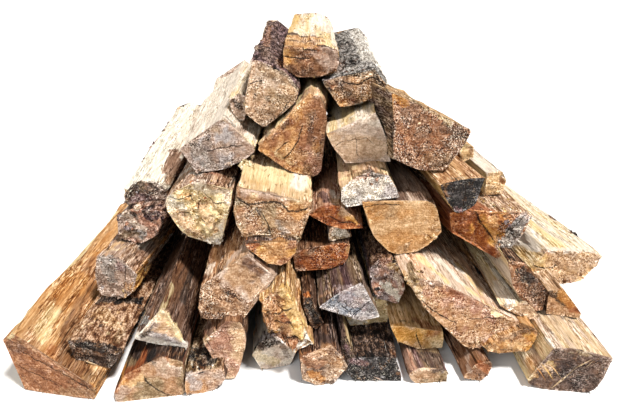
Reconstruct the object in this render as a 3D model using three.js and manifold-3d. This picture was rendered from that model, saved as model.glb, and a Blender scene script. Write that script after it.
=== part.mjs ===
// A heap of split firewood, stacked by hand with every log pointing the same way.
// Millimetres, +Z up, +X to the right of the heap's front, +Y from the front end of a log to its rear end.
// The origin is under the middle of the heap, on the surface that it stands on.
import * as THREE from 'three';
import * as BufferGeometryUtils from 'three/addons/utils/BufferGeometryUtils.js';
import Module from 'manifold-3d';

const wasm = await Module();
wasm.setup();

// Driving dimensions
const LOG_LENGTH = 350;        // a floor log, about 14 in, cut to fit a small stove
const SHORTENING = 0.2;        // a log that starts further back is this much shorter for each mm of setback
const REAR_SCALE = 0.92;       // a split log thins towards its rear end
const RINGS = 5;               // sections along each log
const WANDER = 0.045;          // how far a split edge strays along the log, as a share of the log's width
const CONTACT_GAP = 0.5;       // left between two logs that touch
const SAW_ERROR = 4;           // degrees that an end cut may be off square
const SOLE_SNAP = 6;           // corners of a floor log lower than this lie flat on the ground
const SLIVER = 0.02;           // slivers thinner than this are merged into the faces beside them
const ROUGHNESS = 0.9;

// Every log: where the middle of its front end stands as [right, back, up], how far its rear end turns to the
// right and rises in degrees, the colour of its wood, and its front end as corners [right, up] in mm about its
// middle, clockwise from the left. Skew is how far the right side of the end cut leans back, in degrees, and
// rear is the rear end's own scale. A log is laid on the ones that come before it in these lists.
const FLOOR = [
  { name: 'left_corner_log', at: [-266, 11, 29], turn: 3, skew: -8, colour: 0xb98252,
    end: [[-38, 32], [-24, 43], [-5, 29], [20, 2], [56, -10], [50, -25], [40, -29], [-28, -29]] },
  { name: 'front_left_log', at: [-157, 5, 21], turn: -1, skew: 8, colour: 0xcfa06c,
    end: [[-40, -13], [-28, 6], [11, 25], [31, 20], [30, -21], [-36, -21]] },
  { name: 'bark_top_log', at: [-108, 12, 16], turn: -1, skew: 18, colour: 0xcdbb9a,
    end: [[-19, -16], [-17, 13], [21, 12], [23, -1], [12, -16]] },
  { name: 'red_wedge_log', at: [-84, 32, 43], turn: -2, skew: 0, colour: 0xb67e5f,
    end: [[-26, 6], [-13, 17], [-1, 31], [15, 31], [21, 15], [19, 0], [7, -43], [-3, -43]] },
  { name: 'charred_top_log', at: [-40, 51, 19], turn: -1, skew: 12, rear: 1.35, colour: 0xb59a78,
    end: [[-22, 3], [-11, 15], [14, 18], [25, -3], [18, -19], [-12, -19]] },
  { name: 'amber_low_log', at: [11, 24, 26], turn: -2, skew: 0, colour: 0xb88a5c,
    end: [[-23, 11], [-6, 12], [5, 23], [14, 24], [27, -1], [12, -26], [-9, -26], [-20, -19]] },
  { name: 'black_slab_log', at: [66, 30, 13], turn: -2, skew: 0, colour: 0x2c2523,
    end: [[-32, 3], [-26, 13], [25, 14], [30, -13], [-20, -13]] },
  { name: 'thin_slab_log', at: [124, 28, 10], turn: -4, skew: 0, colour: 0xb6946c,
    end: [[-23, -1], [-18, 9], [16, 9], [20, 1], [20, -10], [-14, -10]] },
  { name: 'round_edge_log', at: [175, 30, 12], turn: -5, skew: 0, colour: 0x8d7056,
    end: [[-17, -5], [2, 14], [11, 14], [14, 5], [12, -6], [4, -12], [-9, -12]] },
  { name: 'right_corner_log', at: [264, 14, 28], turn: -3, skew: -12, colour: 0x7a5a40,
    end: [[-42, -17], [-36, -4], [-27, 3], [-22, 24], [-3, 26], [35, 18], [26, -19], [18, -28], [-36, -28]] },
];

const UPPER = [
  { name: 'charred_left_log', at: [-220, 28, 37], turn: 2, rise: 0, colour: 0x4b3b33,
    end: [[-26, 16], [-14, 18], [8, 13], [29, 2], [22, -10], [9, -21], [-6, -22], [-20, -12]] },
  { name: 'blue_wedge_log', at: [-148, 30, 60], turn: -2, rise: -1, colour: 0x9c8a86,
    end: [[-32, -9], [-17, 4], [3, 33], [24, -15], [22, -21], [-19, -15]] },
  { name: 'broken_gold_log', at: [-24, 32, 74], turn: -2, rise: -1, colour: 0xc08a45,
    end: [[-27, 23], [-14, 32], [1, 42], [27, -30], [28, -45], [18, -48], [2, -26], [-12, -20], [-24, -6]] },
  { name: 'pale_facet_log', at: [-77, 43, 101], turn: -1, rise: -1, colour: 0xc7a77e,
    end: [[-36, -13], [-32, 7], [-20, 11], [-6, 26], [16, 38], [43, 9], [13, -15], [9, -34], [-35, -33]] },
  { name: 'ridged_strip', at: [39, 38, 36], turn: -3, rise: 0, colour: 0x6b4a44,
    end: [[-8, 14], [-1, 17], [8, -10], [4, -16], [-5, -12]] },
  { name: 'gold_slab_log', at: [118, 60, 33], turn: -1, rise: -1, colour: 0xc2985a,
    end: [[-33, 16], [-18, 17], [26, 4], [27, -18], [14, -21], [-24, -4]] },
  { name: 'olive_log', at: [62, 94, 43], turn: -2, rise: -1, colour: 0x8f7848,
    end: [[-31, -2], [-18, 16], [10, 22], [25, 15], [26, -19], [-23, -20]] },
  { name: 'dark_sliver', at: [4, 60, 63], turn: -3, rise: 0, colour: 0x4a3430,
    end: [[-13, 17], [-2, 22], [13, -16], [6, -23], [-4, -17]] },
  { name: 'blue_grey_log', at: [44, 58, 78], turn: -3, rise: -1, colour: 0x96928f,
    end: [[-36, -3], [-19, 12], [9, 25], [31, -22], [12, -24]] },
  { name: 'flat_right_log', at: [217, 42, 42], turn: -5, rise: -1, colour: 0x9c7440,
    end: [[-37, -9], [-25, 5], [-1, 15], [14, 17], [32, -8], [13, -15], [-25, -16]] },
  { name: 'flaky_bark_log', at: [84, 92, 86], turn: -3, rise: -1, colour: 0x8a6a66,
    end: [[-17, -7], [-20, 12], [-11, 25], [4, 26], [15, 11], [19, -8], [15, -32], [-10, -24]] },
  { name: 'wide_slab_log', at: [157, 46, 73], turn: -7, rise: -1, colour: 0xc09a78,
    end: [[-60, 38], [-44, 43], [-27, 39], [64, -16], [65, -24], [39, -33], [22, -44], [5, -40], [-13, -18],
      [-43, 9]] },
  { name: 'tan_strip_log', at: [225, 66, 60], turn: -2, rise: -1, colour: 0xae8760,
    end: [[-25, 11], [7, 15], [22, -7], [18, -20], [-14, -10]] },
  { name: 'orange_edge_log', at: [271, 74, 71], turn: -3, rise: -1, colour: 0x8a5a36,
    end: [[-19, 11], [-4, 17], [23, -17], [19, -26], [-17, -24]] },
  { name: 'dark_bark_log', at: [233, 72, 92], turn: -5, rise: 0, colour: 0x6b4636,
    end: [[-31, 29], [-13, 30], [14, 0], [22, -20], [12, -38], [-8, -30]] },
  { name: 'grey_block_log', at: [-216, 106, 82], turn: 6, rise: 0, colour: 0x99908a,
    end: [[-20, 24], [8, 25], [25, 5], [22, -16], [9, -27], [-14, -29], [-25, -19]] },
  { name: 'pink_bark_log', at: [-193, 142, 131], turn: 5, rise: -1, colour: 0x8c6c68,
    end: [[-25, 6], [-8, 19], [20, 18], [34, 12], [24, -10], [2, -26], [-26, -27]] },
  { name: 'rust_log', at: [15, 108, 105], turn: -1, rise: -1, colour: 0xa5602c,
    end: [[-34, 8], [-12, 13], [30, 19], [30, -7], [18, -15], [-31, -17]] },
  { name: 'orange_under_log', at: [-38, 62, 137], turn: -1, rise: -2, colour: 0xbb7d35,
    end: [[-27, 12], [8, 12], [25, 12], [25, -3], [10, -20], [-22, -10]] },
  { name: 'small_grey_log', at: [31, 114, 129], turn: -1, rise: -1, colour: 0x8f8078,
    end: [[-13, 7], [-6, 13], [7, 10], [15, -2], [8, -14], [-10, -10]] },
  { name: 'tan_smooth_log', at: [99, 104, 147], turn: -3, rise: -1, colour: 0xc9a468,
    end: [[-46, 26], [-10, 28], [23, 27], [33, 22], [43, -10], [22, -30], [4, -41], [-15, -32], [-30, -18]] },
  { name: 'torn_grey_log', at: [194, 102, 141], turn: -9, rise: -1, colour: 0x93806c,
    end: [[-46, 17], [-29, 22], [-14, 18], [38, 20], [45, 12], [24, -18], [10, -35], [-4, -30], [-20, -16],
      [-38, -9]] },
  { name: 'long_right_log', at: [288, 120, 85], turn: -10, rise: -1, colour: 0xd0ac7c,
    end: [[-43, 2], [-25, 24], [4, 21], [46, 11], [42, -5], [27, -18], [-12, -28], [-30, -14]] },
  { name: 'blue_black_log', at: [157, 98, 184], turn: -7, rise: -1, colour: 0x3c3a42,
    end: [[-25, 12], [-4, 17], [22, 17], [15, -12], [6, -24], [-4, -24], [-14, -12]] },
  { name: 'cream_rough_log', at: [-118, 120, 155], turn: -1, rise: 0, colour: 0xd8b87f,
    end: [[-40, 9], [-29, 21], [-11, 33], [7, 35], [27, 27], [36, 24], [35, 10], [24, -28], [20, -43], [10, -45],
      [-16, -30], [-28, -18]] },
  { name: 'yellow_top_log', at: [-41, 72, 172], turn: 0, rise: -1, colour: 0xdabf86,
    end: [[-31, 30], [4, 22], [44, 14], [37, -6], [30, -27], [0, -27], [-28, -26], [-35, -12], [-35, 10]] },
  { name: 'orange_foot_log', at: [28, 112, 152], turn: 1, rise: -1, colour: 0xb06a34,
    end: [[-30, 2], [-15, 12], [4, 13], [20, 0], [30, -12], [8, -15], [-12, -10]] },
  { name: 'salt_pepper_log', at: [61, 108, 183], turn: 1, rise: -1, colour: 0xb9b2aa,
    end: [[-31, 5], [-16, 14], [1, 19], [20, 17], [33, -7], [30, -15], [-6, -17], [-23, -20], [-30, -10]] },
  { name: 'streaky_right_log', at: [206, 150, 174], turn: -7, rise: -1, colour: 0xcdb48c,
    end: [[-12, 14], [7, 15], [14, 2], [9, -18], [-12, -17]] },
  { name: 'stub_right_log', at: [184, 200, 196], turn: -7, rise: -1, colour: 0xb07a48,
    end: [[-11, -2], [-6, 11], [8, 6], [9, -12], [-8, -15]] },
  { name: 'white_left_log', at: [-188, 165, 155], turn: -1, rise: 2, colour: 0xd6cab4,
    end: [[-26, 6], [-14, 14], [3, 19], [15, 17], [27, 6], [23, -8], [13, -19], [-8, -20], [-24, -14]] },
  { name: 'mauve_end_log', at: [-101, 150, 215], turn: -1, rise: 1, colour: 0xb9a79c,
    end: [[-42, 3], [-18, 12], [8, 35], [42, 1], [41, -6], [8, -24], [-21, -32], [-32, -16]] },
  { name: 'cream_splinter', at: [-77, 184, 256], turn: 1, rise: 0, colour: 0xe2cf9f,
    end: [[-15, 6], [-2, 14], [8, 8], [9, -10], [-1, -24], [-9, -18]] },
  { name: 'grey_beige_log', at: [55, 140, 225], turn: 1, rise: -1, colour: 0xb8a68a,
    end: [[-39, 10], [-14, 21], [13, 34], [24, 12], [31, -7], [33, -24], [-3, -30], [-17, -26], [-28, -8]] },
  { name: 'orange_centre_log', at: [-11, 152, 229], turn: 1, rise: 0, rear: 1, colour: 0xba8452,
    end: [[9, 49], [23, 42], [29, 27], [27, -4], [25, -43], [14, -48], [-10, -40], [-44, -20], [-46, -9],
      [-30, 5], [-15, 20]] },
  { name: 'porous_right_log', at: [117, 120, 239], turn: -11, rise: -2, colour: 0xa97f5a,
    end: [[-36, 46], [10, 26], [48, 4], [50, -3], [38, -20], [24, -38], [4, -40], [-32, -24]] },
  { name: 'bark_left_top_log', at: [-45, 170, 272], turn: -1, rise: 1, colour: 0x8f7a66,
    end: [[-17, 33], [1, 32], [18, 22], [35, 5], [33, -9], [10, -31], [-8, -42], [-28, -21]] },
  { name: 'lichen_log', at: [52, 178, 276], turn: 1, rise: 1, colour: 0x99887c,
    end: [[-38, 5], [-14, 11], [2, 14], [17, 20], [33, 3], [24, -8], [6, -20], [-19, -22]] },
  { name: 'top_log', at: [2, 192, 304], turn: 0, rise: 0, colour: 0xb48a5c,
    end: [[-30, 13], [-12, 16], [14, 14], [31, 11], [30, -6], [24, -21], [-26, -19], [-31, -8]] },
];

// A repeatable number between -1 and 1 for each whole number
function jitter(seed) {
  const wave = Math.sin(seed * 12.9898 + 4.1414) * 43758.5453;
  return 2 * (wave - Math.floor(wave)) - 1;
}

// The outline moved outwards by a small distance, each corner along the mean of its two sides' normals
function grown(outline, distance) {
  return outline.map(([x, z], i) => {
    const before = outline[(i + outline.length - 1) % outline.length];
    const after = outline[(i + 1) % outline.length];
    const first = new THREE.Vector2(before[1] - z, x - before[0]).normalize();
    const second = new THREE.Vector2(z - after[1], after[0] - x).normalize();
    const mean = first.clone().add(second).normalize();
    const reach = distance / Math.max(mean.dot(first), 0.5);
    return [x + mean.x * reach, z + mean.y * reach];
  });
}

// The sections of one log from front to rear, thinning, with split edges that stray a little
function sections(log, index, spare) {
  const length = LOG_LENGTH - SHORTENING * log.at[1];
  const xs = log.end.map(([x]) => x);
  const zs = log.end.map(([, z]) => z);
  const stray = WANDER * Math.min(Math.max(...xs) - Math.min(...xs), Math.max(...zs) - Math.min(...zs));
  const outline = grown(log.end, spare);
  const slope = Math.tan(THREE.MathUtils.degToRad(log.skew ?? SAW_ERROR * jitter(index)));
  const rings = [];
  for (let ring = 0; ring < RINGS; ring += 1) {
    const share = ring / (RINGS - 1);
    const scale = 1 - (1 - (log.rear ?? REAR_SCALE)) * share;
    const ends = spare * (ring === 0 ? -1 : ring === RINGS - 1 ? 1 : 0);
    rings.push(outline.map(([x, z], corner) => {
      const seed = index * 97 + ring * 13 + corner * 7;
      const strayed = ring === 0 ? 0 : stray;
      const right = x * scale + strayed * jitter(seed);
      const slant = (ring === 0 ? slope : ring === RINGS - 1 ? -slope : 0) * right;
      return new THREE.Vector3(right, share * length + slant + ends, z * scale + strayed * jitter(seed + 0.5));
    }));
  }
  return rings;
}

// The closed skin over the sections, with both ends capped
function skin(rings) {
  const corners = rings[0].length;
  const faces = [];
  for (let ring = 0; ring < rings.length - 1; ring += 1) {
    for (let corner = 0; corner < corners; corner += 1) {
      const a = ring * corners + corner;
      const b = ring * corners + (corner + 1) % corners;
      faces.push(a, b, b + corners, a, b + corners, a + corners);
    }
  }
  const flat = rings[0].map((p) => new THREE.Vector2(p.x, p.z));
  const rear = (rings.length - 1) * corners;
  for (const [a, b, c] of THREE.ShapeUtils.triangulateShape(flat, [])) {
    const clockwise = THREE.ShapeUtils.area([flat[a], flat[b], flat[c]]) < 0;
    const [p, q] = clockwise ? [c, b] : [b, c];
    faces.push(a, p, q, rear + a, rear + q, rear + p);
  }
  const geometry = new THREE.BufferGeometry();
  const points = rings.flat().flatMap((p) => [p.x, p.y, p.z]);
  geometry.setAttribute('position', new THREE.Float32BufferAttribute(points, 3));
  geometry.setIndex(faces);
  return geometry;
}

// Where a log stands, as a matrix
function placeOf(log) {
  const turn = THREE.MathUtils.degToRad(-log.turn);
  const rise = THREE.MathUtils.degToRad(log.rise ?? 0);
  const rotation = new THREE.Euler(rise, 0, turn, 'ZXY');
  return new THREE.Matrix4().compose(new THREE.Vector3(...log.at), new THREE.Quaternion().setFromEuler(rotation),
    new THREE.Vector3(1, 1, 1));
}

// A solid for joining and cutting, in the heap's own frame
function solidOf(log, index, spare) {
  const geometry = skin(sections(log, index, spare)).applyMatrix4(placeOf(log));
  const position = geometry.getAttribute('position');
  for (let i = 0; i < position.count; i += 1) {
    const low = FLOOR.includes(log) && position.getZ(i) < SOLE_SNAP - spare;
    if (low) position.setZ(i, -spare);
  }
  const mesh = new wasm.Mesh({
    numProp: 3, vertProperties: new Float32Array(position.array), triVerts: new Uint32Array(geometry.index.array),
  });
  return new wasm.Manifold(mesh);
}

// The largest of the bodies in a solid
function mainBody(solid) {
  return solid.decompose().sort((a, b) => b.volume() - a.volume())[0];
}

function geometryOf(solid) {
  const { vertProperties, triVerts } = solid.getMesh();
  const geometry = new THREE.BufferGeometry();
  geometry.setAttribute('position', new THREE.Float32BufferAttribute(vertProperties, 3));
  geometry.setIndex([...triVerts]);
  return BufferGeometryUtils.mergeVertices(geometry, 1e-3);
}

// Logs are laid in the order of the list, and each is seated on the ones already there
const heap = new THREE.Group();
const laid = [];
[...FLOOR, ...UPPER].forEach((log, index) => {
  let solid = solidOf(log, index, 0);
  for (const below of laid) solid = solid.subtract(below);
  laid.push(solidOf(log, index, CONTACT_GAP));
  const place = placeOf(log);
  const geometry = geometryOf(mainBody(solid.simplify(SLIVER))).applyMatrix4(place.clone().invert());
  const finish = new THREE.MeshStandardMaterial({ color: log.colour, roughness: ROUGHNESS, metalness: 0 });
  const mesh = new THREE.Mesh(geometry, finish);
  mesh.name = log.name;
  mesh.applyMatrix4(place);
  heap.add(mesh);
});

const box = new THREE.Box3().setFromObject(heap, true);
const middle = box.getCenter(new THREE.Vector3());
heap.position.set(-middle.x, -middle.y, -box.min.z);

export default heap;
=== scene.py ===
# Dresses the firewood heap: every log gets grain, torn and sawn faces, bark and char over its CAD solid.
# The scene is in metres, +Z up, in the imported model's frame. A log's own lengths are in mm.
import math
from types import SimpleNamespace
import bpy
import numpy as np
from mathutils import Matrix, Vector, geometry


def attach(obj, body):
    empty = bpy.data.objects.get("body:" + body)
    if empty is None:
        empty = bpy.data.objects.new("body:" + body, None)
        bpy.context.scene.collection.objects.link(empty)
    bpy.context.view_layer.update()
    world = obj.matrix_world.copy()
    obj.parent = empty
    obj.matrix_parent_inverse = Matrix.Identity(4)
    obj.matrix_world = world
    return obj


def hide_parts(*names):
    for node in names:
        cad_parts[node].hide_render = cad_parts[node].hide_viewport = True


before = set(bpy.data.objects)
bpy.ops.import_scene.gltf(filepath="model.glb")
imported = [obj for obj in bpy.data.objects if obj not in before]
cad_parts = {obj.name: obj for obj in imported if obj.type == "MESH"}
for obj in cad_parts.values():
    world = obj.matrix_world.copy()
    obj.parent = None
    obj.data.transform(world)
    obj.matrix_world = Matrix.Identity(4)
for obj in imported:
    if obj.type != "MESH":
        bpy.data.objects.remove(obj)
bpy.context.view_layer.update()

MM = 0.001
AROUND = 1.75            # mm between points round a log
POINTS_ROUND = (48, 180)    # fewest and most points round a log
ALONG = 7.0              # mm between sections along a log
FRONT_SECTIONS = (0, 1.2, 2.8, 5, 8, 12)    # mm behind the front end
REAR_SECTIONS = (8, 3, 0)    # mm before the rear end
CAP = 2.3                # mm between points on a front end; on a rear end twice that
CAP_ROW = 0.87           # height of a row of triangles on an end, as a share of their width
CAP_JITTER = 0.25        # how far those points stray, as a share of that width
CAP_RIM = 0.45           # how near the rim they come, as a share of that width
SAME_PLANE = 0.4         # mm between faces that still share an end's plane
TRIES = 6                # places tried between two points when a ring is lined up with the one before
SIDE_SPLINTERS = 46      # on every log
SHARP_EDGE = 32          # degrees between faces that shade as a hard edge
BEVEL_DEPTH = 14         # mm that a bevel leans back, which it nears but never passes
CRACK_REACH = 3          # mm beside a crack's line that can turn dark
CRACK_DEPTH = 30         # mm behind the front end where cracks stop
FLAKE_CORNERS = 7
PITH_BELOW = 25          # mm from a log's underside down to the middle of its rings
RING_TURN = 60           # mm of the ring pattern for each radian round that middle
GRAIN_SHIFT = 0.37       # m from one log's part of the grain pattern to the next log's
CAMERA_AT = (-0.0147, -0.7234, 0.423)
CAMERA_PITCH = 24        # degrees below the horizon
LENS = 36 * 600 / 620    # mm on a 36 mm sensor
SUN_TOWARDS = (-0.4, 0.36, -1.0)
SUN_WIDTH = 9            # degrees
SUN_STRENGTH = 5.2
FILL_AT = (-0.7, -1.8, 1.2)
FILL_TOWARDS = (0, 0, 0.15)
FILL_WIDTH = 1.2         # m
FILL_POWER = 16          # W
SKY_STRENGTH = 0.3
FLOOR = 9                # m from the middle to each side

# Cells of noise in mm: across and along the grain, or x, y, z; a cell as long as ENDLESS has no end
ENDLESS = 1e9
FLAKE_CELL = (11, 120)
FIBRE_CELL = (3.4, 50)
BEND_CELL = (30, 110)
SPLIT_CELL = (13, 210, 13)
RIDGE_CELL = (9, 26)
CHIP_CELL = (8, 12, 8)
CRUMB_CELL = (3.4, 7, 3.4)
FRAY_CELL = (2.2, ENDLESS, 2.2)
STREAK_CELL = (14, 160)
THREAD_CELL = (3.6, 90)
BLOT_CELL = (15, ENDLESS, 15)
DAB_CELL = (6, ENDLESS, 6)
STEP_CELL = 8
LUMPS = ((1.5, 13), (1.3, 5.5), (0.8, 2.8))    # each size of lump on an end: its height and its cell

# Whole numbers that scramble a cell's place and a seed; each use of noise adds its own number to a log's seed
HASH = np.array([374761393, 668265263, 1440662683])
HASH_SEED, HASH_MIX, HASH_MASK = 974634777, 1274126177, 0xFFFFFFFF


# Numbers and noise


def lattice(i, seed):
    """A random number between -1 and 1 for each cell of whole numbers."""
    h = (i @ HASH + seed * HASH_SEED) & HASH_MASK
    h = ((h ^ (h >> 13)) * HASH_MIX) & HASH_MASK
    return ((h ^ (h >> 16)) & 0xFFFF) / 32767.5 - 1


def noise(points, seed):
    """Smooth noise between -1 and 1 at points, whose cells are one unit wide."""
    cell = np.floor(points).astype(np.int64)
    f = points - cell
    f = f * f * (3 - 2 * f)
    sides = (1 - f, f)
    total = np.zeros(len(points))
    for corner in np.ndindex(2, 2, 2):
        dx, dy, dz = corner
        weight = sides[dx][:, 0] * sides[dy][:, 1] * sides[dz][:, 2]
        total += weight * lattice(cell + corner, seed)
    return total


def grain_noise(p, cell, seed, octaves=2):
    """Noise in a log's own frame, with cells across the grain and along it."""
    (across, along), total, share = cell, np.zeros(len(p)), 1.0
    for octave in range(octaves):
        total += share * noise(p / (across * share, along * share, across * share), seed + 17 * octave)
        share *= 0.5
    return total


def ramp(x, low, high):
    """0 at low and 1 at high, with a smooth rise between them."""
    t = np.clip((x - low) / (high - low), 0, 1)
    return t * t * (3 - 2 * t)


def rgb(code):
    """A colour of the screen, as hex, in linear light."""
    c = np.array([(code >> 16) & 255, (code >> 8) & 255, code & 255]) / 255
    return np.where(c <= 0.04045, c / 12.92, ((c + 0.055) / 1.055) ** 2.4)


def mix(a, b, t):
    """From a to b, row by row, by the share t of each row."""
    return a + (b - a) * np.asarray(t)[:, None]


def numbers(word):
    """The numbers of a word such as 12,-7 in a table."""
    return [float(number) for number in word.split(",")]


def place(word):
    """A place in a log's own frame, in mm: x,y,z with y behind the front end, or x,z on that end."""
    x, *y, z = numbers(word)
    return [x, y[0] if y else 0.0, z]


def rows(text):
    """A table's rows of words for each log, whose name stands above its rows."""
    found = {}
    for line in text.strip().split("\n"):
        if line.endswith(":"):
            name = line[:-1]
            found[name] = []
        else:
            found[name] += [row.split() for row in line.split(";") if row]
    return found


# Looks

TONES = dict(
    white=0xF1E8D6, cream=0xEAD2A0, straw=0xDDB673, gold=0xCC9142, amber=0xB4742F, orange=0xB5652A,
    rust=0x8F4A22, tan=0xC49A6C, pale=0xD9BC93, pink=0xC89A80, pink_brown=0xA77860, red_brown=0x97583F,
    brown=0x7A5236, umber=0x563824, dark=0x38261C, plum=0x50383A, purple=0x6E5050, mauve=0x9C8886,
    lilac=0xABA29F, blue_grey=0x83868E, grey=0x8B857E, beige=0xBAA08C, olive=0x8B7252, charcoal=0x2B2625,
    black=0x161414, sand=0xC9A47E, fawn=0xBA9777, clay=0xB2845B, dun=0xA77D5A, buff=0xD3AB89,
    taupe=0xA88D7B, stone=0xC1A894, wheat=0xE6CA96, bone=0xE4D6C4, toffee=0x905D3C, cocoa=0x6B5244,
    chestnut=0x7D563C, honey=0xBF8B55, biscuit=0xDCB481, ash=0xAA9E99, soot=0x483731, shell=0xD6BFA9,
    milk=0xF4EBDD,
)
TONES = {name: rgb(code) for name, code in TONES.items()}

# Each log's look: its end's two tones, how speckled and how torn its end is, the two tones of its top, of its
# left and of its right side, and the sides that carry bark. A log's line number sets its random draws.
# The top, left and right tones are partly the wood's own colour and partly painted light and shade, by the
# way each side faces.
LOOKS = """
left_corner_log toffee toffee .15 .6 honey tan cream straw honey gold
front_left_log olive dun .15 .5 dark dark tan olive olive pink_brown
bark_top_log taupe clay .25 .7 brown olive pale beige umber dark top
red_wedge_log pink_brown sand .35 .6 brown chestnut pink tan umber dark
charred_top_log stone bone .15 .5 bone white pale cream dark black
amber_low_log cocoa fawn .6 1.3 soot umber amber brown brown dark
black_slab_log black charcoal .8 1.2 dark dark dark black purple black top
thin_slab_log olive fawn .3 .5 purple olive tan brown umber dark
round_edge_log chestnut dun .5 .8 brown chestnut tan pink_brown brown dark
right_corner_log soot cocoa .3 .7 stone pale biscuit cream tan brown
charred_left_log dark umber .7 1.2 chestnut dun plum charcoal umber black top right
blue_wedge_log taupe sand .25 .8 cocoa brown pale tan brown umber
broken_gold_log clay toffee .6 2.6 tan straw amber brown clay clay
pale_facet_log brown brown .9 1.2 chestnut clay tan brown brown umber
ridged_strip dark dark .5 1 soot cocoa plum dark buff wheat
gold_slab_log gold tan .15 .5 biscuit biscuit gold tan brown dark
olive_log wheat wheat .4 1.2 buff wheat pale olive brown umber
dark_sliver umber umber .5 1.3 umber chestnut plum dark dark black
blue_grey_log blue_grey ash .8 .8 plum olive beige olive grey umber
flat_right_log honey clay .4 1.5 tan honey pale amber gold umber
flaky_bark_log pink_brown mauve .8 1.8 umber brown purple mauve plum dark top left right
wide_slab_log pink_brown clay .55 .9 buff shell tan pale brown plum
tan_strip_log fawn sand .5 1 shell cream brown tan brown umber
orange_edge_log olive clay .3 .7 fawn sand umber brown gold straw
dark_bark_log chestnut toffee .5 1.4 umber umber cream bone umber dark
grey_block_log taupe taupe .8 1 taupe fawn tan mauve honey gold right
pink_bark_log pink_brown taupe .7 1.8 cocoa pink_brown purple umber umber dark top left right
rust_log chestnut rust .45 .8 dark brown rust umber umber dark
orange_under_log clay toffee .35 .8 soot cocoa orange gold umber dark
small_grey_log olive fawn .5 1.2 pink_brown mauve mauve grey umber dark
tan_smooth_log honey tan .1 .3 cocoa stone brown tan brown dark
torn_grey_log amber toffee .9 2.2 taupe fawn black black brown umber
long_right_log fawn tan .5 1.3 bone wheat gold tan cream tan
blue_black_log black black .3 .8 clay tan honey straw dark black
cream_rough_log wheat cream .55 2.2 taupe fawn pink white brown umber
yellow_top_log olive clay 1 .9 fawn pale tan beige tan brown
orange_foot_log rust rust .3 .8 dun pink orange brown amber brown
salt_pepper_log ash bone 2 1.1 buff pale cream pale pale white
streaky_right_log biscuit biscuit .4 1.4 bone bone wheat cream tan brown
stub_right_log biscuit wheat .3 1 cream tan orange amber brown amber
white_left_log dark cocoa 1 2.2 bone white white pale brown umber
mauve_end_log taupe ash .5 .9 bone bone pale white cream straw
cream_splinter taupe beige .5 1.4 wheat bone cream pale cream orange
grey_beige_log stone shell .15 .5 wheat bone cream pink brown umber
orange_centre_log toffee honey .35 .8 buff cream amber brown brown umber
porous_right_log toffee chestnut 1.3 1.1 olive tan cocoa olive cream tan
bark_left_top_log fawn sand .9 1.1 cocoa plum brown pale plum dark top
lichen_log umber honey .9 1.4 grey grey charcoal lilac white grey top left
top_log toffee brown .3 1.2 bone wheat straw amber straw amber
"""
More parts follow.
